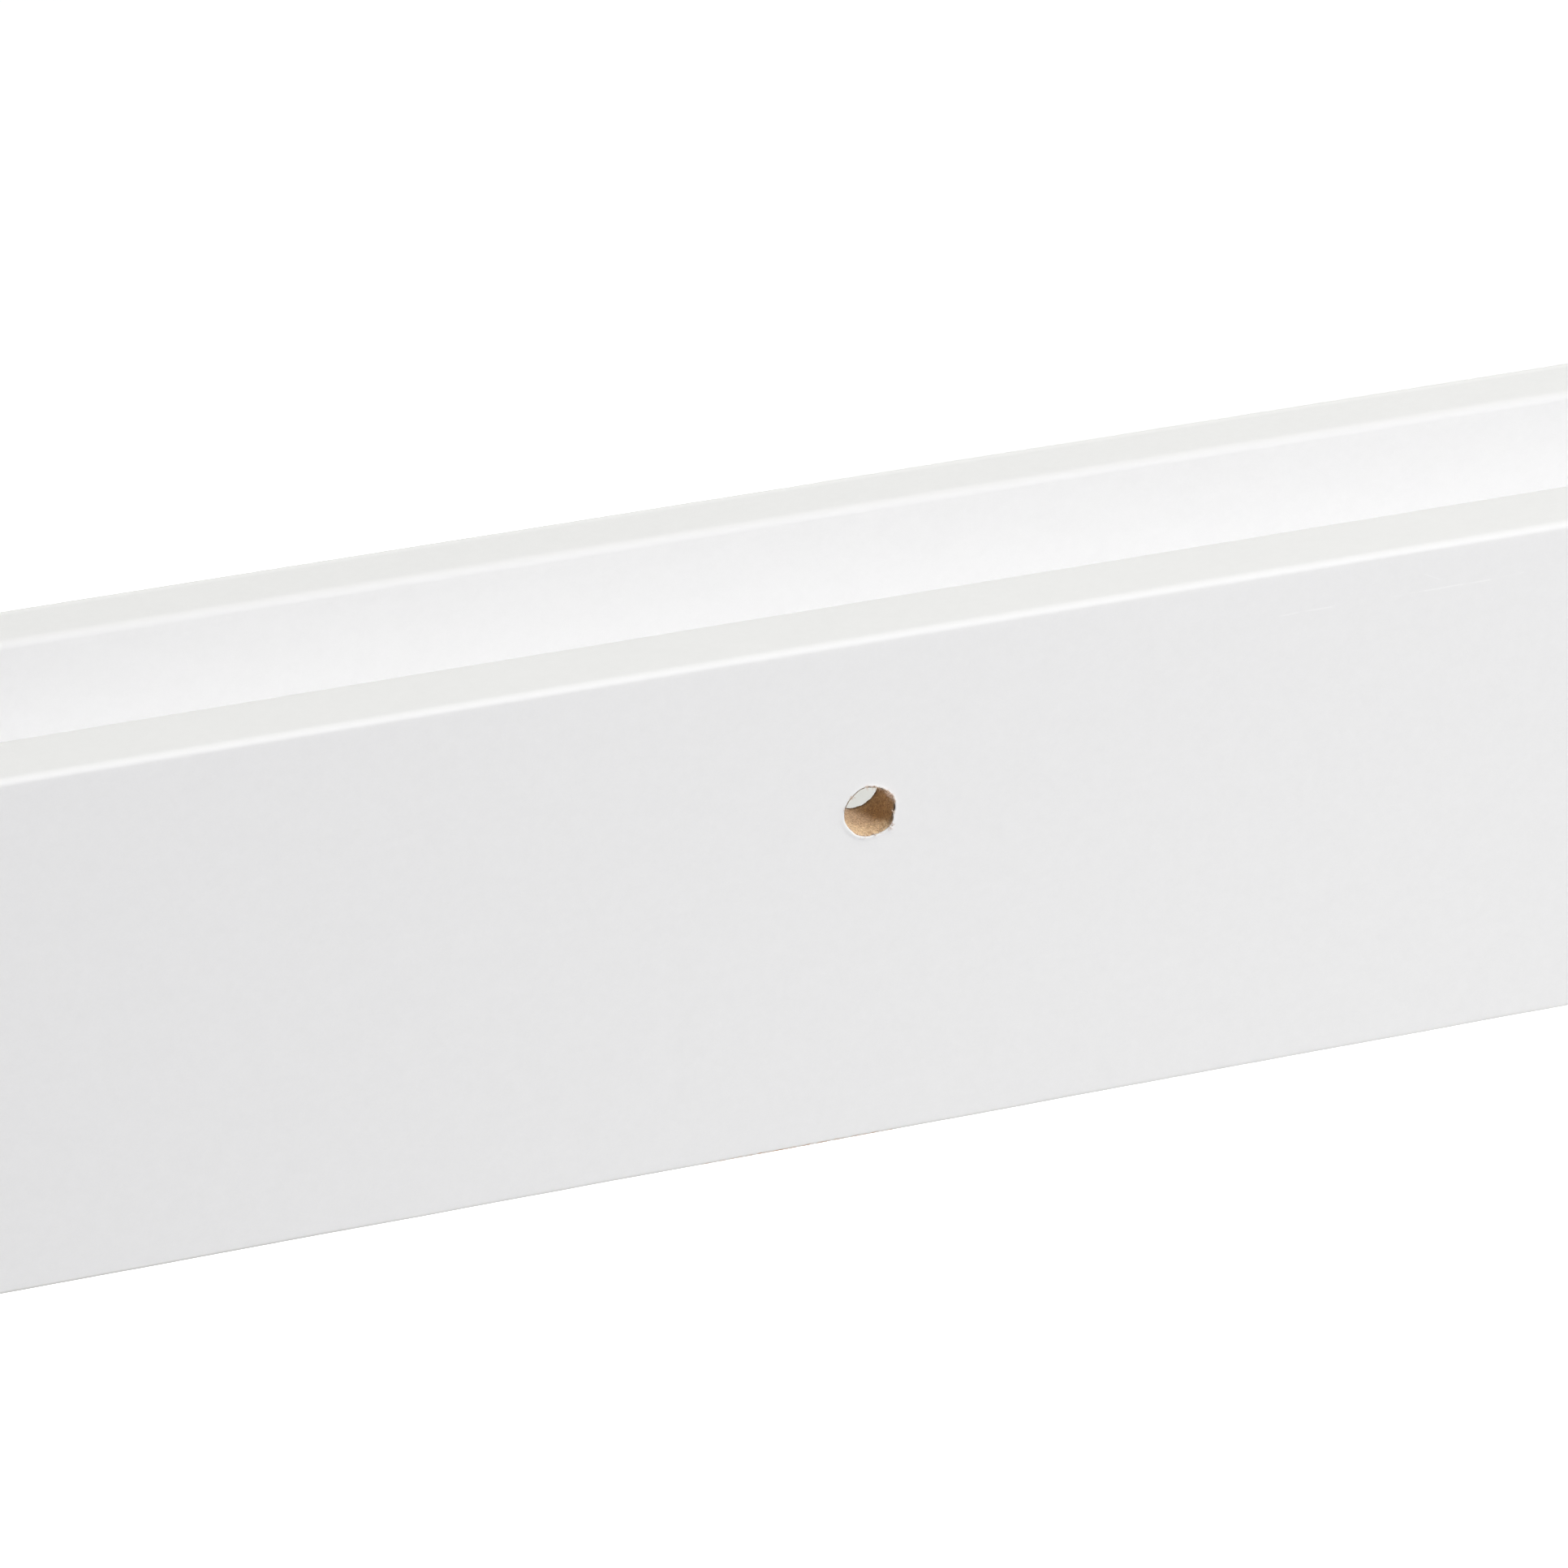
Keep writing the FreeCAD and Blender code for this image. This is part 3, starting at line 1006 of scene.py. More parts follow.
class DebrisTree(GeometryTree):
    """Scatters fibres or flakes over a surface, thickest where its "nap" attribute is high."""

    def __init__(self, chip: Chip) -> None:
        """Build the tree for one shape of debris."""
        super().__init__(f"scattered_{chip.value}", {
            "Density": "NodeSocketFloat",
            "Seed": "NodeSocketInt",
            "Smallest": "NodeSocketFloat",
            "Largest": "NodeSocketFloat",
            "Tilt": "NodeSocketFloat",
        })
        given = self.given
        nap = self.add("GeometryNodeInputNamedAttribute", {"data_type": "FLOAT", "Name": "nap"})
        density = self.add(
            "ShaderNodeMath", {"operation": "MULTIPLY"}, {0: nap.outputs[0], 1: given["Density"]}
        )
        points = self.add(
            "GeometryNodeDistributePointsOnFaces", {"distribute_method": "RANDOM"},
            {"Mesh": given["Geometry"], "Density": density, "Seed": given["Seed"]},
        )
        lean = self.add("ShaderNodeMath", {"operation": "MULTIPLY", 1: -1.0}, {0: given["Tilt"]})
        low = self.add("ShaderNodeCombineXYZ", {"Z": -math.pi}, {"X": lean, "Y": lean})
        high = self.add(
            "ShaderNodeCombineXYZ", {"Z": math.pi}, {"X": given["Tilt"], "Y": given["Tilt"]}
        )
        angles = self.add(
            "FunctionNodeRandomValue", {"data_type": "FLOAT_VECTOR"},
            {"Min": low, "Max": high, "Seed": given["Seed"]},
        )
        tilt = self.add("FunctionNodeEulerToRotation", links={"Euler": angles})
        rotation = self.add(
            "FunctionNodeRotateRotation", {"rotation_space": "LOCAL"},
            {"Rotation": points.outputs["Rotation"], "Rotate By": tilt},
        )
        size = self.add(
            "FunctionNodeRandomValue", {"data_type": "FLOAT"},
            {"Min_001": given["Smallest"], "Max_001": given["Largest"], "Seed": given["Seed"]},
        )
        shape = self.fibre() if chip is Chip.FIBRE else self.flake()
        copies = self.add(
            "GeometryNodeInstanceOnPoints", links={
                "Points": points.outputs["Points"], "Instance": shape, "Rotation": rotation,
                "Scale": size.outputs[1],
            },
        )
        self.end(copies)

    def fibre(self) -> Node:
        """A bent, tapered fibre one unit tall, with 24 faces.

        Returns:
            The node that gives its mesh.
        """
        bend = self.add("GeometryNodeCurveQuadraticBezier", {
            "Resolution": 4, "Start": (0, 0, -0.15), "Middle": (0.05, 0, 0.55), "End": (0.35, 0.1, 1.0),
        })
        along = self.add("GeometryNodeSplineParameter")
        thin = self.add(
            "ShaderNodeMapRange", {"To Min": 0.055, "To Max": 0.015}, {"Value": along.outputs["Factor"]}
        )
        ring = self.add("GeometryNodeCurvePrimitiveCircle", {"Resolution": 4, "Radius": 1.0})
        return self.add(
            "GeometryNodeCurveToMesh", {"Fill Caps": True},
            {"Curve": bend, "Profile Curve": ring, "Scale": thin},
        )

    def flake(self) -> Node:
        """A flat, uneven flake one unit across, with 10 faces.

        Returns:
            The node that gives its mesh.
        """
        cone = self.add("GeometryNodeMeshCone", {
            "Vertices": 5, "Radius Top": 0.35, "Radius Bottom": 0.5, "Depth": 0.22,
        })
        return self.add(
            "GeometryNodeTransform", {"Scale": (1.0, 0.6, 0.8), "Translation": (0, 0, -0.02)},
            {"Geometry": cone},
        )

    def scatter(
        self, base: Mesh, density: float, size: Point2, tilt: float, seed: int, material: Material,
    ) -> Mesh:
        """Scatter debris over a surface.

        Args:
            base: the surface, with its "nap" attribute.
            density: pieces per square millimetre where nap is 1.
            size: the smallest and largest piece, in millimetres.
            tilt: how far a piece leans from the surface's normal, in degrees.
            seed: the scatter's fixed seed.
            material: its finish.

        Returns:
            The debris as one mesh.
        """
        return self.run(base, {
            "Density": density / MM**2,
            "Seed": seed,
            "Smallest": size[0] * MM,
            "Largest": size[1] * MM,
            "Tilt": math.radians(tilt),
            "Material": material,
        })


def make_piece(name: str, mesh: Mesh, slot: Slot, replaced: Sequence[str] = ()) -> None:
    """Turn a finished mesh into a piece of the ledge.

    Args:
        name: the piece's name.
        mesh: its mesh, in place and in metres, with its material.
        slot: the record's slot that its finish comes from; not used.
        replaced: the CAD nodes that it stands for.
    """
    mesh.name = name
    mesh.shade_smooth()
    mesh.set_sharp_from_angle(angle=FLAT_ANGLE)
    piece = in_scene(name, mesh)
    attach(piece, BODY)
    if replaced:
        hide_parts(*replaced)
    log.info("%-24s %6d faces", name, len(mesh.polygons))


def edit(mesh: Mesh, work: Callable[[BMesh], None]) -> None:
    """Change a mesh in place.

    Args:
        mesh: the mesh.
        work: what is done to it.
    """
    shell = bmesh.new()
    shell.from_mesh(mesh)
    work(shell)
    shell.to_mesh(mesh)
    shell.free()


def as_mesh(shell: BMesh, name: str) -> Mesh:
    """A mesh of what was drawn in a shell, after which the shell is gone."""
    mesh = bpy.data.meshes.new(name)
    shell.to_mesh(mesh)
    shell.free()
    return mesh


def face_outwards(shell: BMesh) -> None:
    """Turn all faces of a shell outwards."""
    bmesh.ops.recalc_face_normals(shell, faces=shell.faces)


def join_rings(shell: BMesh, rings: Sequence[Sequence[BMVert]]) -> None:
    """Skin closed rings of equal count, one after another.

    Args:
        shell: the mesh.
        rings: the rings, each going round the same way.
    """
    for near, far in zip(rings, rings[1:]):
        count = len(near)
        for index in range(count):
            after = (index + 1) % count
            shell.faces.new((near[index], near[after], far[after], far[index]))


def circle(centre: Point2, radius: float, y: float, count: int) -> list[Vector]:
    """Points of a circle that lies across Y, in millimetres.

    Args:
        centre: its centre in X and Z.
        radius: its radius.
        y: where it lies.
        count: how many points it has.

    Returns:
        The points, from +X towards +Z.
    """
    angles = [2 * math.pi * index / count for index in range(count)]
    return [
        Vector((centre[0] + radius * math.cos(a), y, centre[1] + radius * math.sin(a))) for a in angles
    ]


def add_ring(shell: BMesh, places: Sequence[Vector]) -> list[BMVert]:
    """Add a ring of points, given in millimetres, to a mesh in metres."""
    return [shell.verts.new(place * MM) for place in places]


def open_round(
    shell: BMesh, centre: Point2, radius: float, y: float, reach: float, count: int
) -> list[BMVert]:
    """Cut a round opening in a flat face that lies across Y.

    The face's long strips near the opening are taken out, and the window is filled again round a
    ring of new points.

    Args:
        shell: the mesh, in metres.
        centre: the opening's centre in X and Z, in millimetres.
        radius: the opening's radius.
        y: where the face lies.
        reach: how far the window goes on either side of the centre.
        count: how many points the ring has.

    Returns:
        The ring's points, from +X towards +Z.
    """
    gone = []
    for face in shell.faces:
        places = [vert.co / MM for vert in face.verts]
        flat = all(abs(place.y - y) < ON_FACE for place in places)
        near = abs(sum(place.x for place in places) / len(places) - centre[0]) < reach
        heights = [place.z for place in places]
        if flat and near and min(heights) < centre[1] < max(heights):
            gone.append(face)
    out = set(gone)
    sides = {edge: len(out.intersection(edge.link_faces)) for face in gone for edge in face.edges}
    rim = [edge for edge, count_out in sides.items() if count_out == 1]
    for face in gone:
        shell.faces.remove(face)
    for edge in [edge for edge, count_out in sides.items() if count_out == 2]:
        shell.edges.remove(edge)
    corners = list(dict.fromkeys(vert for edge in rim for vert in edge.verts))
    ring = add_ring(shell, circle(centre, radius, y, count))
    verts = corners + ring
    order = {vert: index for index, vert in enumerate(verts)}
    flat_places = [Vector((vert.co.x, vert.co.z)) / MM for vert in verts]
    borders = [tuple(order[vert] for vert in edge.verts) for edge in rim]
    first = len(corners)
    borders += [(first + index, first + (index + 1) % count) for index in range(count)]
    triangles = geometry.delaunay_2d_cdt(flat_places, borders, [], 0, SAME_PLACE)[2]
    middle = Vector(centre)
    for triangle in triangles:
        centroid = sum((flat_places[index] for index in triangle), Vector((0, 0))) / 3
        if (centroid - middle).length > radius * math.cos(math.pi / count):
            shell.faces.new([verts[index] for index in triangle])
    return ring


def plate(
    outline: Sequence[Point2], start: float, end: float, material: Material, bevel: float = 0.1
) -> Mesh:
    """A flat plate across the ledge, with the edges of its outer face eased.

    Args:
        outline: its outline as (Y, Z) points.
        start: X of the face that lies against the ledge.
        end: X of the outer face.
        material: its finish.
        bevel: how far the outer face's edges are eased.

    Returns:
        The mesh.
    """
    shell = bmesh.new()
    inner = shell.faces.new([shell.verts.new(Vector((start, y, z)) * MM) for y, z in outline])
    made = bmesh.ops.extrude_face_region(shell, geom=[inner])
    moved = [item for item in made["geom"] if isinstance(item, BMVert)]
    bmesh.ops.translate(shell, verts=moved, vec=Vector(((end - start) * MM, 0, 0)))
    if not inner.is_valid:
        shell.faces.new([vert for vert in shell.verts if vert not in moved])
    outer = set(moved)
    eased = [edge for edge in shell.edges if set(edge.verts) <= outer]
    bmesh.ops.bevel(shell, geom=eased, offset=bevel * MM, segments=3, profile=0.5, affect="EDGES")
    face_outwards(shell)
    mesh = as_mesh(shell, "plate")
    mesh.materials.append(material)
    return mesh


# --------------------------------------------------------------------------- the screw holes


@dataclass(frozen=True)
class Swell:
    """A local change round a hole's rim, with a soft edge.

    angle and width are in degrees, from +X towards +Z; the rest is in millimetres. For a lift, crest
    is how far its highest line lies from the torn edge, and fall how long its outer slope is.
    """

    angle: float
    width: float
    size: float
    crest: float = 0.2
    fall: float = 0.6

    def share(self, angle: float) -> float:
        """How much of it an angle gets, from 0 to 1."""
        apart = (angle - self.angle + 180) % 360 - 180
        return math.exp(-((apart / self.width) ** 2))


@dataclass(frozen=True)
class TornRim:
    """The rim where the drill broke out through the foil on the wall side.

    Sizes are in millimetres. tears move the torn edge out from the bore, or in where negative;
    lifts raise the foil beside it, and tufts are where torn fibres stand. rings are where a ring
    of bare board shows inside the torn edge, and chars where painted shade darkens the mouth.
    coarse and fine are the sizes of the edge's raggedness, uneven is the share by which a lift
    varies, and a ring is at least thinnest wide and varies by the share broken. Each rate says how
    quickly such a noise changes round the hole.
    """

    tears: tuple[Swell, ...]
    lifts: tuple[Swell, ...]
    tufts: tuple[Swell, ...]
    rings: tuple[Swell, ...]
    chars: tuple[Swell, ...]
    seed: float
    radius: float = 3.38
    everywhere: Swell = Swell(0, 360, 0.02)
    coarse: float = 0.07
    coarse_rate: float = 5.5
    fine: float = 0.035
    fine_rate: float = 21.0
    uneven: float = 0.4
    uneven_rate: float = 7.0
    outward_rate: float = 2.0
    thinnest: float = 0.05
    broken: float = 0.9
    broken_rate: float = 9.0

    def around(self, angle: float, rate: float, shift: float) -> float:
        """Noise at an angle of the rim, from about -1 to 1; shift moves the pattern."""
        turn = math.radians(angle)
        return noise.noise(Vector((math.cos(turn) * rate, math.sin(turn) * rate, shift)))

    def edge(self, angle: float) -> float:
        """The torn edge's distance from the bore's axis.

        Args:
            angle: where, in degrees.

        Returns:
            The distance in millimetres.
        """
        turn = math.radians(angle)
        place = Vector((math.cos(turn), math.sin(turn), self.seed))
        torn = sum(tear.size * tear.share(angle) for tear in self.tears)
        ragged = self.coarse * noise.noise(place * self.coarse_rate)
        return self.radius + torn + (ragged + self.fine * noise.noise(place * self.fine_rate))

    def height(self, angle: float, out: float) -> float:
        """How far the foil stands off the board.

        Args:
            angle: where, in degrees.
            out: the distance from the torn edge, outwards.

        Returns:
            The height in millimetres.
        """
        varied = self.around(angle, self.uneven_rate, out * self.outward_rate + self.seed)
        total = 0.0
        for lift in (self.everywhere, *self.lifts):
            rise = out / lift.crest if out < lift.crest else max(0.0, 1 - (out - lift.crest) / lift.fall)
            total += lift.size * lift.share(angle) * rise * rise * (3 - 2 * rise)
        return total * (1 + self.uneven * varied)

    def tuft(self, angle: float) -> float:
        """How thick the torn fibres stand at an angle, from 0 to 1."""
        return min(1.0, sum(tuft.size * tuft.share(angle) for tuft in self.tufts))

    def ring(self, angle: float) -> float:
        """How wide the ring of bare board is at an angle, in millimetres, with its breaks."""
        width = sum(ring.size * ring.share(angle) for ring in self.rings)
        varied = self.around(angle, self.broken_rate, self.seed + 3)
        return self.thinnest + width * (1 + self.broken * varied)

    def char(self, angle: float) -> float:
        """How much painted shade darkens the bore's mouth at an angle, from 0 to 1."""
        return min(1.0, sum(char.size * char.share(angle) for char in self.chars))


TORN_RIMS = {
    End.RIGHT: TornRim(
        tears=(
            Swell(222, 13, 0.26), Swell(74, 24, 0.2), Swell(243, 14, 0.1), Swell(282, 12, 0.08),
            Swell(20, 16, 0.08), Swell(192, 8, -0.2), Swell(135, 22, -0.1), Swell(322, 26, -0.1),
        ),
        lifts=(
            Swell(116, 26, 0.07, 0.09, 0.3), Swell(318, 34, 0.05, 0.14, 0.6),
            Swell(172, 22, 0.04, 0.1, 0.3), Swell(60, 26, 0.035, 0.1, 0.3),
            Swell(262, 30, 0.035, 0.14, 0.5),
        ),
        tufts=(
            Swell(144, 8, 1.0), Swell(128, 14, 0.35), Swell(158, 9, 0.45), Swell(222, 9, 0.35),
            Swell(192, 6, 0.35), Swell(100, 12, 0.3), Swell(255, 30, 0.1), Swell(15, 3, 0.5),
            Swell(46, 3, 0.5), Swell(82, 4, 0.3),
        ),
        rings=(
            Swell(50, 38, 0.1), Swell(100, 26, 0.07), Swell(176, 34, 0.06), Swell(20, 14, 0.05),
            Swell(228, 18, 0.12),
        ),
        # Where painted shade darkens the bore's mouth.
        chars=(Swell(60, 45, 0.6), Swell(112, 28, 0.9), Swell(186, 40, 1.0), Swell(20, 14, 0.5)),
        seed=4.2,
    ),
    End.LEFT: TornRim(
        tears=(
            Swell(40, 18, 0.22), Swell(160, 12, 0.18), Swell(250, 22, 0.1), Swell(305, 9, -0.18),
            Swell(100, 25, -0.08),
        ),
        lifts=(
            Swell(80, 34, 0.06, 0.1, 0.3), Swell(230, 34, 0.06, 0.2, 0.8), Swell(330, 22, 0.04, 0.12),
        ),
        tufts=(Swell(52, 10, 0.9), Swell(168, 9, 0.5), Swell(280, 30, 0.15)),
        rings=(Swell(80, 40, 0.08), Swell(200, 30, 0.07)),
        # Where painted shade darkens the bore's mouth.
        chars=(Swell(80, 45, 0.6), Swell(200, 35, 0.9)),
        seed=17.6,
    ),
}


@dataclass(frozen=True)
class ScrewHole:
    """A countersunk screw hole through the rail: clean on the room side, torn on the wall side.

    Sizes are in millimetres. lean is how far the bore, drilled a little off square, has moved
    along X and Z where its straight part ends. felt holds the (rate, weight) of each noise that
    roughens its wall, and calm is the share of it at the board's face. The mouth reaches in by up
    to mouth_in, and out to the rim, and is back on the wall at about mouth_depth. Outside it the
    board is pressed up by crater, unevenly by crater_rough, where the gap to the torn edge is at
    least crater_gap, and slopes off over the share crater_slope of that gap. It is flat again
    flat_ring from the bore. hair is the least step between two rings. The board is darkened with
    painted shade: burnish_reach is how far from the bore's wall it goes, end_burnish its strength
    and depth where the straight part ends, and mouth_burnish its depth at the mouth.
    """

    end: End
    centre: Point2
    radius: float
    straight: float
    rim: TornRim
    count: int = 208
    collar: float = 7.5
    reach: float = 11.0
    wall_step: float = 0.16
    cone_steps: int = 12
    wall_rough: float = 0.07
    cone_rough: float = 0.02
    felt: tuple[Point2, ...] = ((2.2, 1.0), (5.1, 0.8), (11.0, 0.5))
    calm: float = 0.4
    mouth_in: float = 0.14
    mouth_depth: float = 0.3
    crater: float = 0.22
    crater_rough: float = 0.04
    crater_gap: float = 0.08
    crater_slope: float = 0.25
    flat_ring: float = 0.9
    hair: float = 0.02
    burnish_reach: float = 0.6
    end_burnish: Point2 = (0.8, 0.3)
    mouth_burnish: float = 0.28
    lean: Point2 = (-0.31, 0.42)

    def angles(self) -> list[float]:
        """The directions of the points round the hole, in degrees."""
        return [360 * index / self.count for index in range(self.count)]

    def at(self, angle: float, radius: float, y: float) -> Vector:
        """A place round the hole's axis."""
        turn = math.radians(angle)
        across, up = radius * math.cos(turn), radius * math.sin(turn)
        return Vector((self.centre[0] + across, y, self.centre[1] + up))

    def collar_rings(self, wall_y: float) -> list[list[Vector]]:
        """The foil round the torn rim, ring by ring, from the flat collar in to the torn edge.

        Args:
            wall_y: where the wall face lies.

        Returns:
            The rings without the collar itself.
        """
        outs = [2.8, 1.9, 1.4, 1.1, 0.9, 0.74, 0.6, 0.5, 0.42, 0.34, 0.27, 0.2, 0.14, 0.09, 0.045, 0.0]
        rings = []
        for out in outs:
            keep = max(0.0, 1 - out / outs[0])
            ring = []
            for angle in self.angles():
                edge = self.rim.edge(angle) * keep + self.rim.radius * (1 - keep)
                ring.append(self.at(angle, edge + out, wall_y + self.rim.height(angle, out)))
            rings.append(ring)
        return rings

    def pierce_foil(self, shell: BMesh, wall_y: float, room_y: float, cone_radius: float) -> None:
        """Open the hole in the rail's wrap, torn on the wall side and clean on the room side.

        Args:
            shell: the wrap's outer skin.
            wall_y: where the wall face lies.
            room_y: where the room face lies.
            cone_radius: the countersink's radius at the room face.
        """
        collar = open_round(shell, self.centre, self.collar, wall_y, self.reach, self.count)
        rings = [collar] + [add_ring(shell, ring) for ring in self.collar_rings(wall_y)]
        join_rings(shell, rings)
        front = open_round(shell, self.centre, self.collar, room_y, self.reach, self.count)
        rim = add_ring(shell, circle(self.centre, cone_radius, room_y, self.count))
        join_rings(shell, [front, rim])

    def wall_radius(self, angle: float, depth: float) -> float:
        """The bore wall's radius: rough as torn felt, and chipped out at its mouth.

        Args:
            angle: where, in degrees.
            depth: how deep, from the board's face.

        Returns:
            The radius in millimetres.
        """
        turn = math.radians(angle)
        across, up = self.radius * math.cos(turn), self.radius * math.sin(turn)
        place = Vector((across, depth, up + self.rim.seed))
        felt = sum(weight * noise.noise(place * rate) for rate, weight in self.felt)
        mouth = max(-self.mouth_in, self.rim.edge(angle) - self.rim.ring(angle) - self.radius)
        rough = self.wall_rough * felt * min(1.0, self.calm + depth)
        return self.radius + mouth * math.exp(-depth / self.mouth_depth) + rough

    def bore_rings(self, core_y: float, cone_y: float) -> list[list[Vector]]:
        """The straight part of the bore with its raised mouth, from the board's face inwards.

        Args:
            core_y: where the board's wall side lies, under the foil.
            cone_y: where the countersink begins.

        Returns:
            The rings, the first of them round and flat on the board's face.
        """
        mouth = []
        for angle in self.angles():
            edge, wall = self.rim.edge(angle) - self.hair, self.wall_radius(angle, 0.0)
            room = max(0.0, min(1.0, (edge - wall - self.hair) / self.crater_gap))
            uneven = noise.noise(Vector((angle * 0.3, self.rim.seed, 0)))
            top = core_y + self.crater * room + self.crater_rough * room * uneven
            mouth.append((angle, wall, max(edge, wall + self.hair), top))
        rings = [circle(self.centre, self.radius + self.flat_ring, core_y, self.count)]
        rings.append([self.at(angle, edge, core_y) for angle, _, edge, _ in mouth])
        slope = self.crater_slope
        rings.append([self.at(angle, edge - slope * (edge - wall), top) for angle, wall, edge, top in mouth])
        rings.append([self.at(angle, wall, top - self.hair) for angle, wall, _, top in mouth])
        steps = round((core_y - cone_y) / self.wall_step)
        for step in range(1, steps + 1):
            share = step / steps
            y = core_y + (cone_y - core_y) * share
            moved = Vector((self.lean[0], 0, self.lean[1])) * share
            radii = [(angle, self.wall_radius(angle, core_y - y)) for angle in self.angles()]
            rings.append([self.at(angle, radius, y) + moved for angle, radius in radii])
        return rings

    def cone_rings(self, cone_y: float, face_y: float, face_radius: float) -> list[list[Vector]]:
        """The countersink, from the end of the straight bore to the board's room face.

        Args:
            cone_y: where it begins.
            face_y: where the board's room face lies.
            face_radius: its radius there.

        Returns:
            The rings, the last of them without the round ring on the face.
        """
        rings = []
        for step in range(1, self.cone_steps):
            share = step / self.cone_steps
            y = cone_y + (face_y - cone_y) * share
            moved = Vector((self.lean[0], 0, self.lean[1])) * (1 - share)
            ring = []
            for angle in self.angles():
                first = self.wall_radius(angle, self.straight)
                rough = self.cone_rough * noise.noise(Vector((angle * 0.4, y * 4, self.rim.seed)))
                ring.append(self.at(angle, first + (face_radius - first) * share + rough, y) + moved)
            rings.append(ring)
        return rings

    def burnish(self, place: Vector, depth: float, foil: float) -> float:
        """How much painted shade darkens the board, at the mouth and at the straight part's end.

        Args:
            place: a place on the board.
            depth: how deep it lies from the board's face.
            foil: how thick the foil on that face is.

        Returns:
            The share, from 0 to 1.
        """
        across, up = place.x - self.centre[0], place.z - self.centre[1]
        if math.hypot(across, up) >= self.radius + self.burnish_reach:
            return 0.0
        strength, run = self.end_burnish
        end = strength * math.exp(-(((depth - self.straight + foil) / run) ** 2))
        mouth_shaded = self.rim.char(math.degrees(math.atan2(up, across)))
        return max(end, mouth_shaded * math.exp(-((depth / self.mouth_burnish) ** 2)))


class DrilledRail:
    """The rail's fibreboard strip, with its screw holes and dowel sockets."""

    socket_count = 48
    socket_reach = 3.4
    chamfer = 0.3

    def __init__(self, ledge: "Ledge", holes: Sequence[ScrewHole]) -> None:
        """The strip of a ledge with its holes."""
        self.ledge = ledge
        self.holes = holes
        self.low, self.high = (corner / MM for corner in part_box("rail_core"))

    def section(self) -> Section:
        """The strip's outline with its rebate.

        Returns:
            The closed section.
        """
        ledge = self.ledge
        inner, outer, top, bottom = self.low.y, self.high.y, self.high.z, self.low.z
        cut, flat, half = ledge.board_arris, FLAT_RUN, self.chamfer * ledge.board_arris
        line = Outline(lambda across: across)
        line.to(ledge.seat, bottom).to(outer, bottom)
        line.to(outer, top - cut - flat).to(outer, top - cut).to(outer - half, top - half)
        line.to(outer - cut, top).to(inner + cut, top).to(inner + half, top - half)
        line.to(inner, top - cut).to(inner, top - cut - flat)
        line.to(inner, ledge.rebate_top + flat).to(inner, ledge.rebate_top)
        return line.to(ledge.seat, ledge.rebate_top).section(closed=True)

    def build(self, sweeps: SweepTree, material: Material) -> None:
        """Make the strip.

        Args:
            sweeps: the sweep tree.
            material: raw fibreboard.
        """
        length = self.high.x - self.low.x
        mesh = sweeps.sweep(self.section(), length, material, seed=3.0, wander=0.0, ripple=0.0)
        edit(mesh, self.drill)
        # Painted shade darkens the board round each hole's mouth and where its straight part ends.
        scorched = []
        for vert in mesh.vertices:
            place = vert.co / MM
            depth = max(0.0, self.high.y - place.y)
            scorched.append(max(hole.burnish(place, depth, self.ledge.foil) for hole in self.holes))
        mark(mesh, "scorch", scorched)
        make_piece("rail_board", mesh, Slot.FIBREBOARD, ["rail_core"])

    def drill(self, shell: BMesh) -> None:
        """Open the screw holes and the dowel sockets in the swept strip."""
        face_outwards(shell)
        for hole in self.holes:
            self.drill_screw_hole(shell, hole)
        for x in self.ledge.dowel_places():
            self.drill_socket(shell, x)
        face_outwards(shell)

    def drill_screw_hole(self, shell: BMesh, hole: ScrewHole) -> None:
        """Open one screw hole right through.

        Args:
            shell: the strip.
            hole: the hole.
        """
        back = open_round(shell, hole.centre, hole.collar, self.high.y, hole.reach, hole.count)
        front = open_round(shell, hole.centre, hole.collar, self.low.y, hole.reach, hole.count)
        cone_y = self.ledge.wall_face - hole.straight
        face_radius = hole.radius + (cone_y - self.low.y) * self.ledge.cone_slope
        rings = hole.bore_rings(self.high.y, cone_y) + hole.cone_rings(cone_y, self.low.y, face_radius)
        rings.append(circle(hole.centre, face_radius, self.low.y, hole.count))
        join_rings(shell, [back] + [add_ring(shell, ring) for ring in rings] + [front])

    def drill_socket(self, shell: BMesh, x: float) -> None:
        """Open one dowel socket in the rebate.

        Args:
            shell: the strip.
            x: where the dowel lies along the ledge.
        """
        ledge, count = self.ledge, self.socket_count
        centre, radius = (x, ledge.dowel_height), ledge.socket_radius
        mouth = open_round(shell, centre, radius, ledge.seat, self.socket_reach, count)
        deep = add_ring(shell, circle(centre, radius, ledge.seat + ledge.socket_depth, count))
        join_rings(shell, [mouth, deep])
        shell.faces.new(deep)


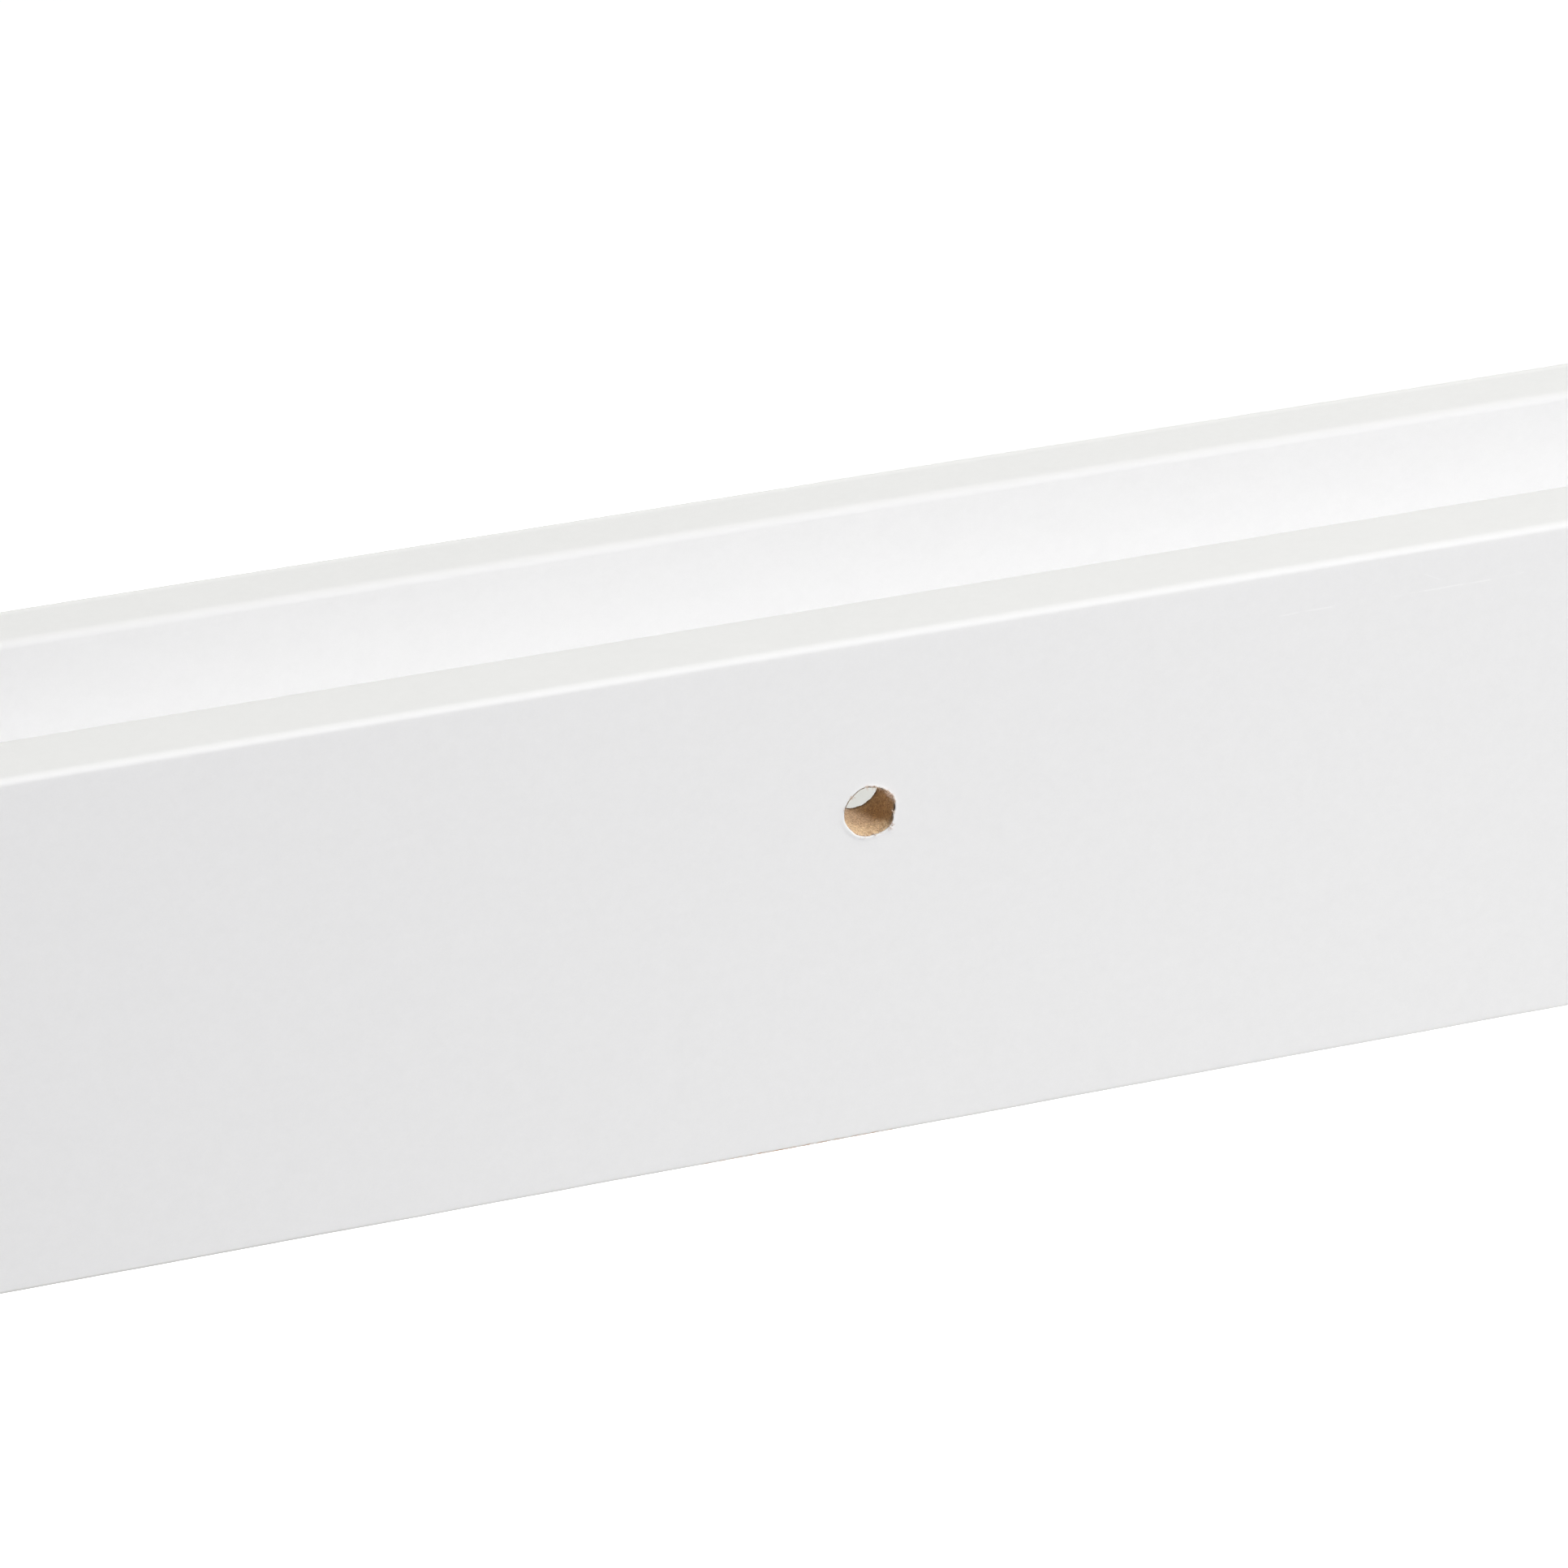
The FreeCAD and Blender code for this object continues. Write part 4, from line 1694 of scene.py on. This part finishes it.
class HoleDebris:
    """Fibres and foil crumbs that the drill left in a screw hole."""

    def __init__(self, ledge: "Ledge", hole: ScrewHole) -> None:
        """The debris of one hole."""
        self.ledge = ledge
        self.hole = hole

    def rim_rings(self, levels: Sequence[Point2]) -> list[list[Vector]]:
        """Rings along the torn edge.

        Args:
            levels: each ring's distance out from the edge, and its height over the foil.

        Returns:
            The rings.
        """
        hole, rim, wall = self.hole, self.hole.rim, self.ledge.wall_face
        return [
            [
                hole.at(angle, rim.edge(angle) + out, wall + lift + rim.height(angle, max(out, 0.0)))
                for angle in hole.angles()
            ]
            for out, lift in levels
        ]

    def strip(self, rings: Sequence[Sequence[Vector]], nap: Callable[[float, int], float]) -> Mesh:
        """A temporary surface that debris is scattered on.

        Args:
            rings: its rings of points.
            nap: how thick the debris stands, from the angle and the ring's number.

        Returns:
            The surface with its "nap" attribute, its normals towards the hole's axis or the wall.
        """
        shell = bmesh.new()
        join_rings(shell, [add_ring(shell, ring) for ring in rings])
        mesh = as_mesh(shell, "debris_base")
        angles = self.hole.angles()
        mark(mesh, "nap", [nap(angle, number) for number in range(len(rings)) for angle in angles])
        return mesh

    def bore_fibres(self, tree: DebrisTree, material: Material) -> None:
        """The felt's loose fibres inside the bore, thickest at its mouth.

        Args:
            tree: the fibre scatter.
            material: torn fibre.
        """
        hole, ledge = self.hole, self.ledge
        rings = hole.bore_rings(ledge.wall_face - ledge.foil, ledge.wall_face - hole.straight)[3:]
        thick, thin, sparse = 3, len(rings) - 3, 0.28
        base = self.strip(rings, lambda angle, number: sparse if thick <= number <= thin else 1.0)
        mesh = tree.scatter(base, density=9.0, size=(0.1, 0.26), tilt=75, seed=11, material=material)
        make_piece(f"bore_fibres_{hole.end.word}", mesh, Slot.FIBREBOARD)

    def rim_tufts(self, tree: DebrisTree, material: Material) -> None:
        """The tufts of torn fibre that stand at the rim.

        Args:
            tree: the fibre scatter.
            material: torn fibre.
        """
        rings = self.rim_rings(((-0.06, -0.22), (0.02, -0.02), (0.16, 0.03)))
        base = self.strip(rings, lambda angle, number: self.hole.rim.tuft(angle))
        mesh = tree.scatter(base, density=230.0, size=(0.16, 0.62), tilt=68, seed=5, material=material)
        make_piece(f"rim_tufts_{self.hole.end.word}", mesh, Slot.FIBREBOARD)

    def foil_crumbs(self, tree: DebrisTree, material: Material) -> None:
        """Crumbs of foil that cling to the torn edge.

        Args:
            tree: the flake scatter.
            material: paper foil.
        """
        rings = self.rim_rings(((-0.1, -0.2), (-0.02, -0.06), (0.04, 0.01)))
        base = self.strip(rings, lambda angle, number: 1.0)
        mesh = tree.scatter(base, density=4.0, size=(0.05, 0.15), tilt=70, seed=23, material=material)
        make_piece(f"foil_crumbs_{self.hole.end.word}", mesh, Slot.FOIL)


# --------------------------------------------------------------------------- the ledge


class Upright:
    """The rail or the lip: its wrap, bottom band, end bands and dowels."""

    def __init__(self, ledge: "Ledge", side: Side) -> None:
        """One upright of a ledge."""
        self.ledge = ledge
        self.side = side
        self.height = ledge.heights[side]
        # The third value scales the painted shade that dims the highlight on the arris facing the wall.
        self.arris, self.inner_arris, self.stretch = {
            Side.RAIL: (RAIL_ARRIS, RAIL_INNER_ARRIS, 0.2),
            Side.LIP: (LIP_ARRIS, LIP_ARRIS, 1.0),
        }[side]

    def to_y(self, across: float) -> float:
        """Y of a distance across the upright, from its inner face outwards."""
        return self.side.value * (self.ledge.inner_face + across)

    def over_top(self) -> list[list[Point2]]:
        """The curves of the outer and the inner top arris, in drawing order: up, over and down."""
        curve, inner_curve = self.arris.curve(), self.inner_arris.curve()
        start, stop = self.ledge.board - curve[-1][0], inner_curve[-1][0]
        outer = [(start + across, self.height + up) for across, up in reversed(curve)]
        return [outer, [(stop - across, self.height + up) for across, up in inner_curve]]

    def foot(self) -> list[Point2]:
        """The curve of the outer face's lower arris, from the face down to the bottom."""
        curve = FOOT_ARRIS.curve()
        return [(self.ledge.board + across, up - curve[-1][1]) for across, up in curve]

    def cut_foot(self) -> tuple[list[Point2], list[Point2]]:
        """The lower arris in two parts, above and below the band's upper edge.

        Returns:
            The points on the wrap and the points on the band, both with the shared point.
        """
        curve, level = self.foot(), self.ledge.band
        above = [point for point in curve if point[1] > level]
        below = [point for point in curve if point[1] <= level]
        (near, high), (far, low) = above[-1], below[0]
        shared = (near + (far - near) * (high - level) / (high - low), level)
        return above + [shared], [shared] + below

    def wrap_section(self) -> Section:
        """The wrap's outer skin, from the band up the outer face, over the top and down inside.

        Returns:
            The open section.
        """
        ledge, flat = self.ledge, FLAT_RUN
        outer, inner = self.over_top()
        line = Outline(self.to_y)
        for across, up in reversed(self.cut_foot()[0]):
            line.to(across, up)
        line.to(ledge.board, line.points[-1][1] + flat).to(ledge.board, outer[0][1] - flat)
        line.follow(outer).to(outer[-1][0] - flat, self.height)
        line.to(inner[0][0] + flat, self.height).follow(inner)
        line.to(0.0, inner[-1][1] - flat).to(0.0, ledge.rebate_top)
        return line.section(closed=False)

    def build_wrap(self, sweeps: SweepTree, finish: Material, holes: Sequence[ScrewHole]) -> None:
        """Make the foil wrap as one thin shell.

        Args:
            sweeps: the sweep tree.
            finish: paper foil.
            holes: the screw holes through it.
        """
        ledge = self.ledge
        mesh = sweeps.sweep(self.wrap_section(), ledge.core_length, finish, seed=self.height)

        def pierce(shell: BMesh) -> None:
            """Open the holes and turn the skin outwards."""
            for hole in holes:
                hole.pierce_foil(shell, ledge.wall_face, ledge.inner_face, ledge.cone_radius)
            face_outwards(shell)
            highest = max(shell.faces, key=lambda face: face.calc_center_median().z)
            if highest.normal.z < 0:
                bmesh.ops.reverse_faces(shell, faces=shell.faces)

        edit(mesh, pierce)
        carrier = in_scene("carrier", mesh)
        wall = carrier.modifiers.new("thickness", "SOLIDIFY")
        wall.thickness = ledge.foil * MM
        wall.offset = -1.0
        wall.use_even_offset = True
        shell_mesh = applied(carrier)
        self.cone_under_edge(shell_mesh, holes)
        self.mark_fold(shell_mesh)
        name = f"{self.side.word}_wrap"
        make_piece(name, shell_mesh, Slot.FOIL, [f"{self.side.word}_foil"])

    def mark_fold(self, mesh: Mesh) -> None:
        """Mark where painted shade dims the highlight on the arris that faces the wall, most at 45 degrees.

        Args:
            mesh: the wrap.
        """
        top = (self.height - 2.0) * MM
        mark(mesh, "fold", [
            self.stretch * 2 * max(0.0, normal.vector.y * normal.vector.z) if vert.co.z > top else 0.0
            for vert, normal in zip(mesh.vertices, mesh.vertex_normals)
        ])

    def cone_under_edge(self, mesh: Mesh, holes: Sequence[ScrewHole]) -> None:
        """Cut the foil's edge along the countersink's cone on the room side.

        Args:
            mesh: the wrap, in metres.
            holes: the screw holes through it.
        """
        ledge, near = self.ledge, 0.02
        under = ledge.inner_face + ledge.foil
        radius = ledge.cone_radius - ledge.foil * ledge.cone_slope
        for vert in mesh.vertices:
            place = vert.co / MM
            for hole in holes:
                axis = Vector((hole.centre[0], place.y, hole.centre[1]))
                out = place - axis
                if abs(place.y - under) < near and abs(out.length - ledge.cone_radius) < near:
                    vert.co = (axis + out.normalized() * radius) * MM

    def band_section(self) -> Section:
        """The bottom band, rounded over its outer arris.

        Returns:
            The closed section.
        """
        ledge = self.ledge
        seat = ledge.seat - ledge.inner_face
        ease = 0.06
        line = Outline(self.to_y)
        line.to(seat, ledge.band).to(seat, ease).to(seat + ease, 0.0).to(ledge.board - FOOT_RUN, 0.0)
        for across, up in reversed(self.cut_foot()[1]):
            line.to(across, up, max(0.0, 1 - up / ledge.band) ** 0.5)
        return line.section(closed=True)

    def build_bottom_band(
        self, sweeps: SweepTree, finish: Material, arris_marks: dict[str, Sequence["Rub"]]
    ) -> None:
        """Make the band on the bottom edge.

        Args:
            sweeps: the sweep tree.
            finish: edge band.
            arris_marks: by attribute name, where its outer arris is worn through, and where painted shade
                greys it.
        """
        section, length = self.band_section(), self.ledge.core_length
        mesh = sweeps.sweep(section, length, finish, seed=9.0, wander=0.18, ripple=0.05)
        edit(mesh, face_outwards)
        outer, (across, up) = self.side.value * self.ledge.wall_face, ARRIS_MARK_REACH
        for name, rubs in arris_marks.items():
            values = []
            for vert in mesh.vertices:
                place = vert.co / MM
                near = max(0.0, 1 - abs(place.y - outer) / across) * max(0.0, 1 - place.z / up)
                values.append(near ** 0.5 * max(rub.share(place.x) for rub in rubs))
            mark(mesh, name, values)
        replaced = [f"{self.side.word}_bottom_band"]
        make_piece(f"{self.side.word}_edge_band", mesh, Slot.BAND, replaced)

    def build_end_band(self, end: End, finish: Material) -> None:
        """Make the band over one end of the strip.

        Args:
            end: which end.
            finish: edge band.
        """
        ledge = self.ledge
        seat = ledge.seat - ledge.inner_face
        outer, inner = self.over_top()
        line = Outline(self.to_y)
        line.to(seat, 0.0).to(ledge.board - FOOT_RUN, 0.0)
        for across, up in reversed(self.foot()):
            line.to(across, up)
        line.follow(outer).follow(inner).to(0.0, ledge.rebate_top).to(seat, ledge.rebate_top)
        start = end.value * ledge.core_length / 2
        mesh = plate(line.points, start, start + end.value * ledge.band, finish)
        name = f"{self.side.word}_end_cover_{end.word}"
        make_piece(name, mesh, Slot.BAND, [f"{self.side.word}_end_band_{end.word}"])

    def build_dowels(self, rows: RowTree, finish: Material) -> None:
        """Make the row of fluted dowels.

        Args:
            rows: the row tree.
            finish: beech.
        """
        ledge = self.ledge
        low, high = (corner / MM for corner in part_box(f"{self.side.word}_dowels"))
        places = ledge.dowel_places()
        mesh = rows.run(FlutedDowel(high.y - low.y, ledge.dowel_radius).mesh(), {
            "Count": len(places),
            "Pitch": (places[1] - places[0]) * MM,
            "First": Vector((places[0], (low.y + high.y) / 2, ledge.dowel_height)) * MM,
            "Material": finish,
        })
        make_piece(f"{self.side.word}_dowel_row", mesh, Slot.DOWEL, [f"{self.side.word}_dowels"])


@dataclass(frozen=True)
class FlutedDowel:
    """A fluted dowel with chamfered ends, along Y about the origin, in millimetres.

    shoulder is how far from its ends the rings stand that keep the shading of the sides even.
    """

    length: float
    radius: float
    flutes: int = 14
    flute_depth: float = 0.16
    chamfer: float = 0.5
    shoulder: float = 1.1
    around: int = 56

    def mesh(self) -> Mesh:
        """The dowel's mesh.

        Returns:
            The closed mesh, in metres.
        """
        half = self.length / 2
        stations = [
            (-half, self.chamfer), (self.chamfer - half, 0.0), (self.shoulder - half, 0.0),
            (half - self.shoulder, 0.0), (half - self.chamfer, 0.0), (half, self.chamfer),
        ]
        shell = bmesh.new()
        rings = []
        for y, inset in stations:
            ring = []
            for index in range(self.around):
                angle = 2 * math.pi * index / self.around
                flute = self.flute_depth * 0.5 * (1 - math.cos(self.flutes * angle))
                out = self.radius - inset - flute
                ring.append(Vector((out * math.cos(angle), y, out * math.sin(angle))))
            rings.append(add_ring(shell, ring))
        join_rings(shell, rings)
        shell.faces.new(rings[0])
        shell.faces.new(rings[-1])
        face_outwards(shell)
        return as_mesh(shell, "dowel")


@dataclass(frozen=True)
class Rub:
    """A span of a band's arris, in millimetres along X, worn through to the board or greyed with painted
    shade.
    """

    start: float
    end: float
    strength: float = 1.0

    def share(self, x: float) -> float:
        """How much of it the arris shows at X, from 0 to 1."""
        half = (self.end - self.start) / 2
        away = abs(x - self.start - half) / half
        return self.strength * max(0.0, 1 - away ** 4)


class Ledge:
    """The whole picture ledge. Its sizes come from the CAD frame, in millimetres."""

    def __init__(self, record: dict, finishes: Finishes) -> None:
        """Read the ledge's sizes from the frame.

        Args:
            record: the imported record.
            finishes: the ledge's finishes.
        """
        self.finishes = finishes
        foil_low, foil_high = (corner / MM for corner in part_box("rail_foil"))
        core_low, core_high = (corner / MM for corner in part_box("rail_core"))
        lip_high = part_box("lip_foil")[1] / MM
        base_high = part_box("base_core")[1] / MM
        self.core_length = core_high.x - core_low.x
        self.wall_face = foil_high.y
        self.inner_face = foil_low.y
        self.board = foil_high.y - foil_low.y
        self.foil = foil_high.z - core_high.z
        self.band = foil_low.z
        self.seat = base_high.y
        self.rebate_top = base_high.z
        self.heights = {Side.RAIL: foil_high.z, Side.LIP: lip_high.z}
        self.board_arris = 0.6
        dowel_low, dowel_high = (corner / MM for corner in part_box("rail_dowels"))
        self.dowel_radius = (dowel_high.z - dowel_low.z) / 2
        self.dowel_height = (dowel_high.z + dowel_low.z) / 2
        self.dowel_span = dowel_high.x - dowel_low.x - 2 * self.dowel_radius
        self.dowel_count = 5
        self.socket_radius = self.dowel_radius + GLUE_GAP
        self.socket_depth = dowel_high.y - self.seat + SOCKET_ROOM
        self.cone_slope = 1.0
        self.mounts = {mount["name"]: mount for mount in record["mounts"]}
        self.holes = [self.screw_hole(end) for end in End]
        hole = self.holes[0]
        self.cone_radius = hole.radius + (self.board - hole.straight) * self.cone_slope

    def dowel_places(self) -> list[float]:
        """Where the dowels lie along the ledge."""
        pitch = self.dowel_span / (self.dowel_count - 1)
        return [pitch * index - self.dowel_span / 2 for index in range(self.dowel_count)]

    def screw_hole(self, end: End) -> ScrewHole:
        """One screw hole, at its mount's place.

        Args:
            end: which of the two.

        Returns:
            The hole with its torn rim.
        """
        mount = self.mounts[f"wall_bore_{end.word}"]
        x, _, z = (value / MM for value in mount["pos_m"])
        return ScrewHole(end, (x, z), mount["dims"]["r_mm"], mount["dims"]["length_mm"], TORN_RIMS[end])

    def build(self) -> None:
        """Build and dress every piece, in order."""
        finishes, sweeps, rows = self.finishes, SweepTree(), RowTree()
        DrilledRail(self, self.holes).build(sweeps, finishes.board)
        rubs = {Side.RAIL: (Rub(141, 176), Rub(-92, -80, 0.7)), Side.LIP: (Rub(-30, -8, 0.7),)}
        # Spans where painted shade greys each band's lower arris.
        band_shade_spans = {
            Side.RAIL: (Rub(196, 320, 0.78), Rub(110, 230, 0.45), Rub(-300, -180, 0.5)),
            Side.LIP: (Rub(-120, 40, 0.5),),
        }
        for side in Side:
            upright = Upright(self, side)
            upright.build_wrap(sweeps, finishes.foil, self.holes if side is Side.RAIL else [])
            arris_marks = {"bare": rubs[side], "soil": band_shade_spans[side]}
            upright.build_bottom_band(sweeps, finishes.band, arris_marks)
            for end in End:
                upright.build_end_band(end, finishes.band)
            upright.build_dowels(rows, finishes.beech)
        self.build_base(sweeps)
        fibres, flakes = DebrisTree(Chip.FIBRE), DebrisTree(Chip.FLAKE)
        for hole in self.holes:
            debris = HoleDebris(self, hole)
            debris.bore_fibres(fibres, finishes.fibre)
            debris.rim_tufts(fibres, finishes.fibre)
            debris.foil_crumbs(flakes, finishes.foil)

    def build_base(self, sweeps: SweepTree) -> None:
        """Make the base board's faces and end bands, and dress its core and the lip's.

        Args:
            sweeps: the sweep tree.
        """
        for node in ("base_top_foil", "base_bottom_foil"):
            low, high = (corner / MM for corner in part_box(node))
            ease = 0.05
            line = Outline(lambda across: across)
            under, over = (low.z + ease, high.z) if node == "base_bottom_foil" else (low.z, high.z - ease)
            line.to(low.y, under).to(low.y, over).to(low.y + ease, high.z).to(high.y - ease, high.z)
            line.to(high.y, over).to(high.y, under).to(high.y - ease, low.z).to(low.y + ease, low.z)
            section, foil = line.section(closed=True), self.finishes.foil
            mesh = sweeps.sweep(section, self.core_length, foil, seed=1.0, stations=56)
            edit(mesh, face_outwards)
            make_piece(node.replace("_foil", "_face"), mesh, Slot.FOIL, [node])
        for end in End:
            node = f"base_end_band_{end.word}"
            seat, inner, step, top = self.seat, self.inner_face, self.rebate_top, self.board
            outline = [
                (-seat, 0), (seat, 0), (seat, step), (inner, step),
                (inner, top), (-inner, top), (-inner, step), (-seat, step),
            ]
            start = end.value * self.core_length / 2
            mesh = plate(outline, start, start + end.value * self.band, self.finishes.band)
            make_piece(node.replace("band", "cover"), mesh, Slot.BAND, [node])
        for node in ("base_core", "lip_core"):
            piece = frame["nodes"][node]
            piece.data.materials.clear()
            piece.data.materials.append(self.finishes.board)
            log.info("%-24s CAD node", node)


# --------------------------------------------------------------------------- the studio


@dataclass(frozen=True)
class Viewpoint:
    """The camera: where it stands, seen from the right-hand screw hole, and where that hole shows.

    azimuth turns from the wall's normal towards +X; angles are in degrees, distance in metres.
    """

    azimuth: float = 19.77
    elevation: float = 28.24
    distance: float = 1.003
    focal_pixels: float = 10072.0
    target_pixel: Point2 = (1071.9, 1000.3)
    clip: Point2 = (0.02, 60.0)

    def place(self, target: Vector) -> None:
        """Make the scene's camera.

        Args:
            target: the point that shows at target_pixel, in metres.
        """
        side, rise = math.radians(self.azimuth), math.radians(self.elevation)
        level = math.cos(rise)
        forward = -Vector((math.sin(side) * level, math.cos(side) * level, math.sin(rise)))
        right = Vector((-math.cos(side), math.sin(side), 0))
        up = right.cross(forward)
        across = (self.target_pixel[0] - IMAGE_SIDE / 2) / self.focal_pixels
        down = (self.target_pixel[1] - IMAGE_SIDE / 2) / self.focal_pixels
        data = bpy.data.cameras.new("camera")
        data.sensor_width = SENSOR_WIDTH
        data.lens = self.focal_pixels / IMAGE_SIDE * SENSOR_WIDTH
        data.clip_start, data.clip_end = self.clip
        camera = in_scene("camera", data)
        turned = Matrix((right, up, -forward)).transposed().to_4x4()
        spot = target - self.distance * (forward + right * across - up * down)
        camera.matrix_world = Matrix.Translation(spot) @ turned
        bpy.context.scene.camera = camera


@dataclass(frozen=True)
class Softbox:
    """A square studio light, aimed at a point. Sizes are in metres, power in watts."""

    name: str
    direction: tuple[float, float, float]
    distance: float
    size: float
    power: float
    colour: tuple[float, float, float] = (1.0, 1.0, 1.0)

    def hang(self, aim: Vector) -> None:
        """Hang the light.

        Args:
            aim: what it points at.
        """
        data = bpy.data.lights.new(self.name, "AREA")
        data.shape = "SQUARE"
        data.size = self.size
        data.energy = self.power
        data.color = self.colour
        lamp = in_scene(self.name, data)
        way = Vector(self.direction).normalized()
        lamp.location = aim + way * self.distance
        lamp.rotation_euler = way.to_track_quat("Z", "Y").to_euler()
        lamp.visible_camera = False


@dataclass(frozen=True)
class Studio:
    """A plain white studio: a pale floor well below the ledge, a trace of even light, and softboxes.

    The softboxes are a key from the wall's side, two above, a near fill in front of the wall face,
    and one each for the room side and the two ends, which the others miss. The floor's colour
    mottles between two greys, with a grain in millimetres.
    """

    floor_drop: float = 0.8
    floor_size: float = 14.0
    floor_grey: str = "#8C8C8C"
    floor_pale: str = "#CDCDCD"
    floor_grain: float = 90.0
    floor_glow: float = 0.85
    dome: float = 0.02
    softboxes: tuple[Softbox, ...] = (
        Softbox("key", (-0.380, 0.763, 0.523), 4.0, 0.76, 84.2, (0.912, 0.907, 1.0)),
        Softbox("overhead", (-0.235, 0.407, 0.883), 3.0, 1.4, 49.6, (1.0, 0.997, 0.909)),
        Softbox("back", (-0.54, -0.54, 0.643), 3.0, 1.8, 21.0, (0.985, 1.0, 0.975)),
        Softbox("fill", (-0.16, 0.48, -0.15), 0.528, 0.25, 0.56, (0.997, 1.0, 0.915)),
        Softbox("front", (-0.35, -0.86, -0.37), 2.0, 0.9, 33.5),
        Softbox("left_end", (-1.0, 0.0, 0.0), 2.0, 1.0, 5.0),
        Softbox("right_end", (1.0, -0.12, 0.15), 2.0, 0.8, 19.0),
    )

    def white_rays(self, tree: NodeTree) -> Node:
        """1 for the rays that see the background as plain white: camera, glossy and transmission.

        Args:
            tree: a material's or the world's tree.

        Returns:
            The node that gives it.
        """
        rays = add_node(tree, "ShaderNodeLightPath")
        seen = add_node(
            tree, "ShaderNodeMath", {"operation": "MAXIMUM"},
            {0: rays.outputs["Is Camera Ray"], 1: rays.outputs["Is Glossy Ray"]},
        )
        return add_node(
            tree, "ShaderNodeMath", {"operation": "MAXIMUM"},
            {0: seen, 1: rays.outputs["Is Transmission Ray"]},
        )

    def lay_floor(self) -> None:
        """Lay the floor: matt and pale, with a glow that only the camera and gloss see."""
        material, tree = new_material("pale_studio_floor")
        mottle = noise_at(tree, (self.floor_grain,) * 3, 2.0)
        tone = add_node(
            tree, "ShaderNodeMix",
            {"data_type": "RGBA", "A_Color": linear(self.floor_grey), "B_Color": linear(self.floor_pale)},
            {"Factor_Float": mottle},
        )
        matt = add_node(tree, "ShaderNodeBsdfDiffuse", links={"Color": tone.outputs[2]})
        glow = add_node(
            tree, "ShaderNodeMath", {"operation": "MULTIPLY", 1: self.floor_glow},
            {0: self.white_rays(tree)},
        )
        light = add_node(tree, "ShaderNodeEmission", {"Color": (1, 1, 1, 1)}, {"Strength": glow})
        both = add_node(tree, "ShaderNodeAddShader", links={0: matt, 1: light})
        add_node(tree, "ShaderNodeOutputMaterial", links={"Surface": both})
        half = self.floor_size / 2
        mesh = bpy.data.meshes.new("floor")
        corners = [(-half, -half), (half, -half), (half, half), (-half, half)]
        mesh.from_pydata([(x, y, -self.floor_drop) for x, y in corners], [], [(0, 1, 2, 3)])
        mesh.materials.append(material)
        floor = in_scene("floor", mesh)

    def light_dome(self) -> None:
        """Light the world: a soft dome for diffuse light, plain white for the camera and gloss."""
        world = bpy.data.worlds.new("soft_dome")
        world.use_nodes = True
        tree = world.node_tree
        tree.nodes.clear()
        soft = add_node(tree, "ShaderNodeBackground", {"Color": (1, 1, 1, 1), "Strength": self.dome})
        white = add_node(tree, "ShaderNodeBackground", {"Color": (1, 1, 1, 1), "Strength": 1.0})
        chosen = add_node(
            tree, "ShaderNodeMixShader", links={0: self.white_rays(tree), 1: soft, 2: white}
        )
        add_node(tree, "ShaderNodeOutputWorld", links={"Surface": chosen})
        bpy.context.scene.world = world

    def set_up(self, aim: Vector) -> None:
        """Set up the floor, the dome and the softboxes.

        Args:
            aim: the point that the softboxes light.
        """
        self.lay_floor()
        self.light_dome()
        for softbox in self.softboxes:
            softbox.hang(aim)
        bpy.context.scene.view_settings.view_transform = "Standard"


def main() -> None:
    """Build the ledge, then the studio round it."""
    logging.basicConfig(level=logging.INFO, format="%(message)s")
    ledge = Ledge(frame["record"], Finishes.mixed())
    ledge.build()
    shown = ledge.holes[1]
    target = Vector((shown.centre[0], ledge.wall_face, shown.centre[1])) * MM
    Viewpoint().place(target)
    Studio().set_up(target)


if __name__ == "__main__":
    main()
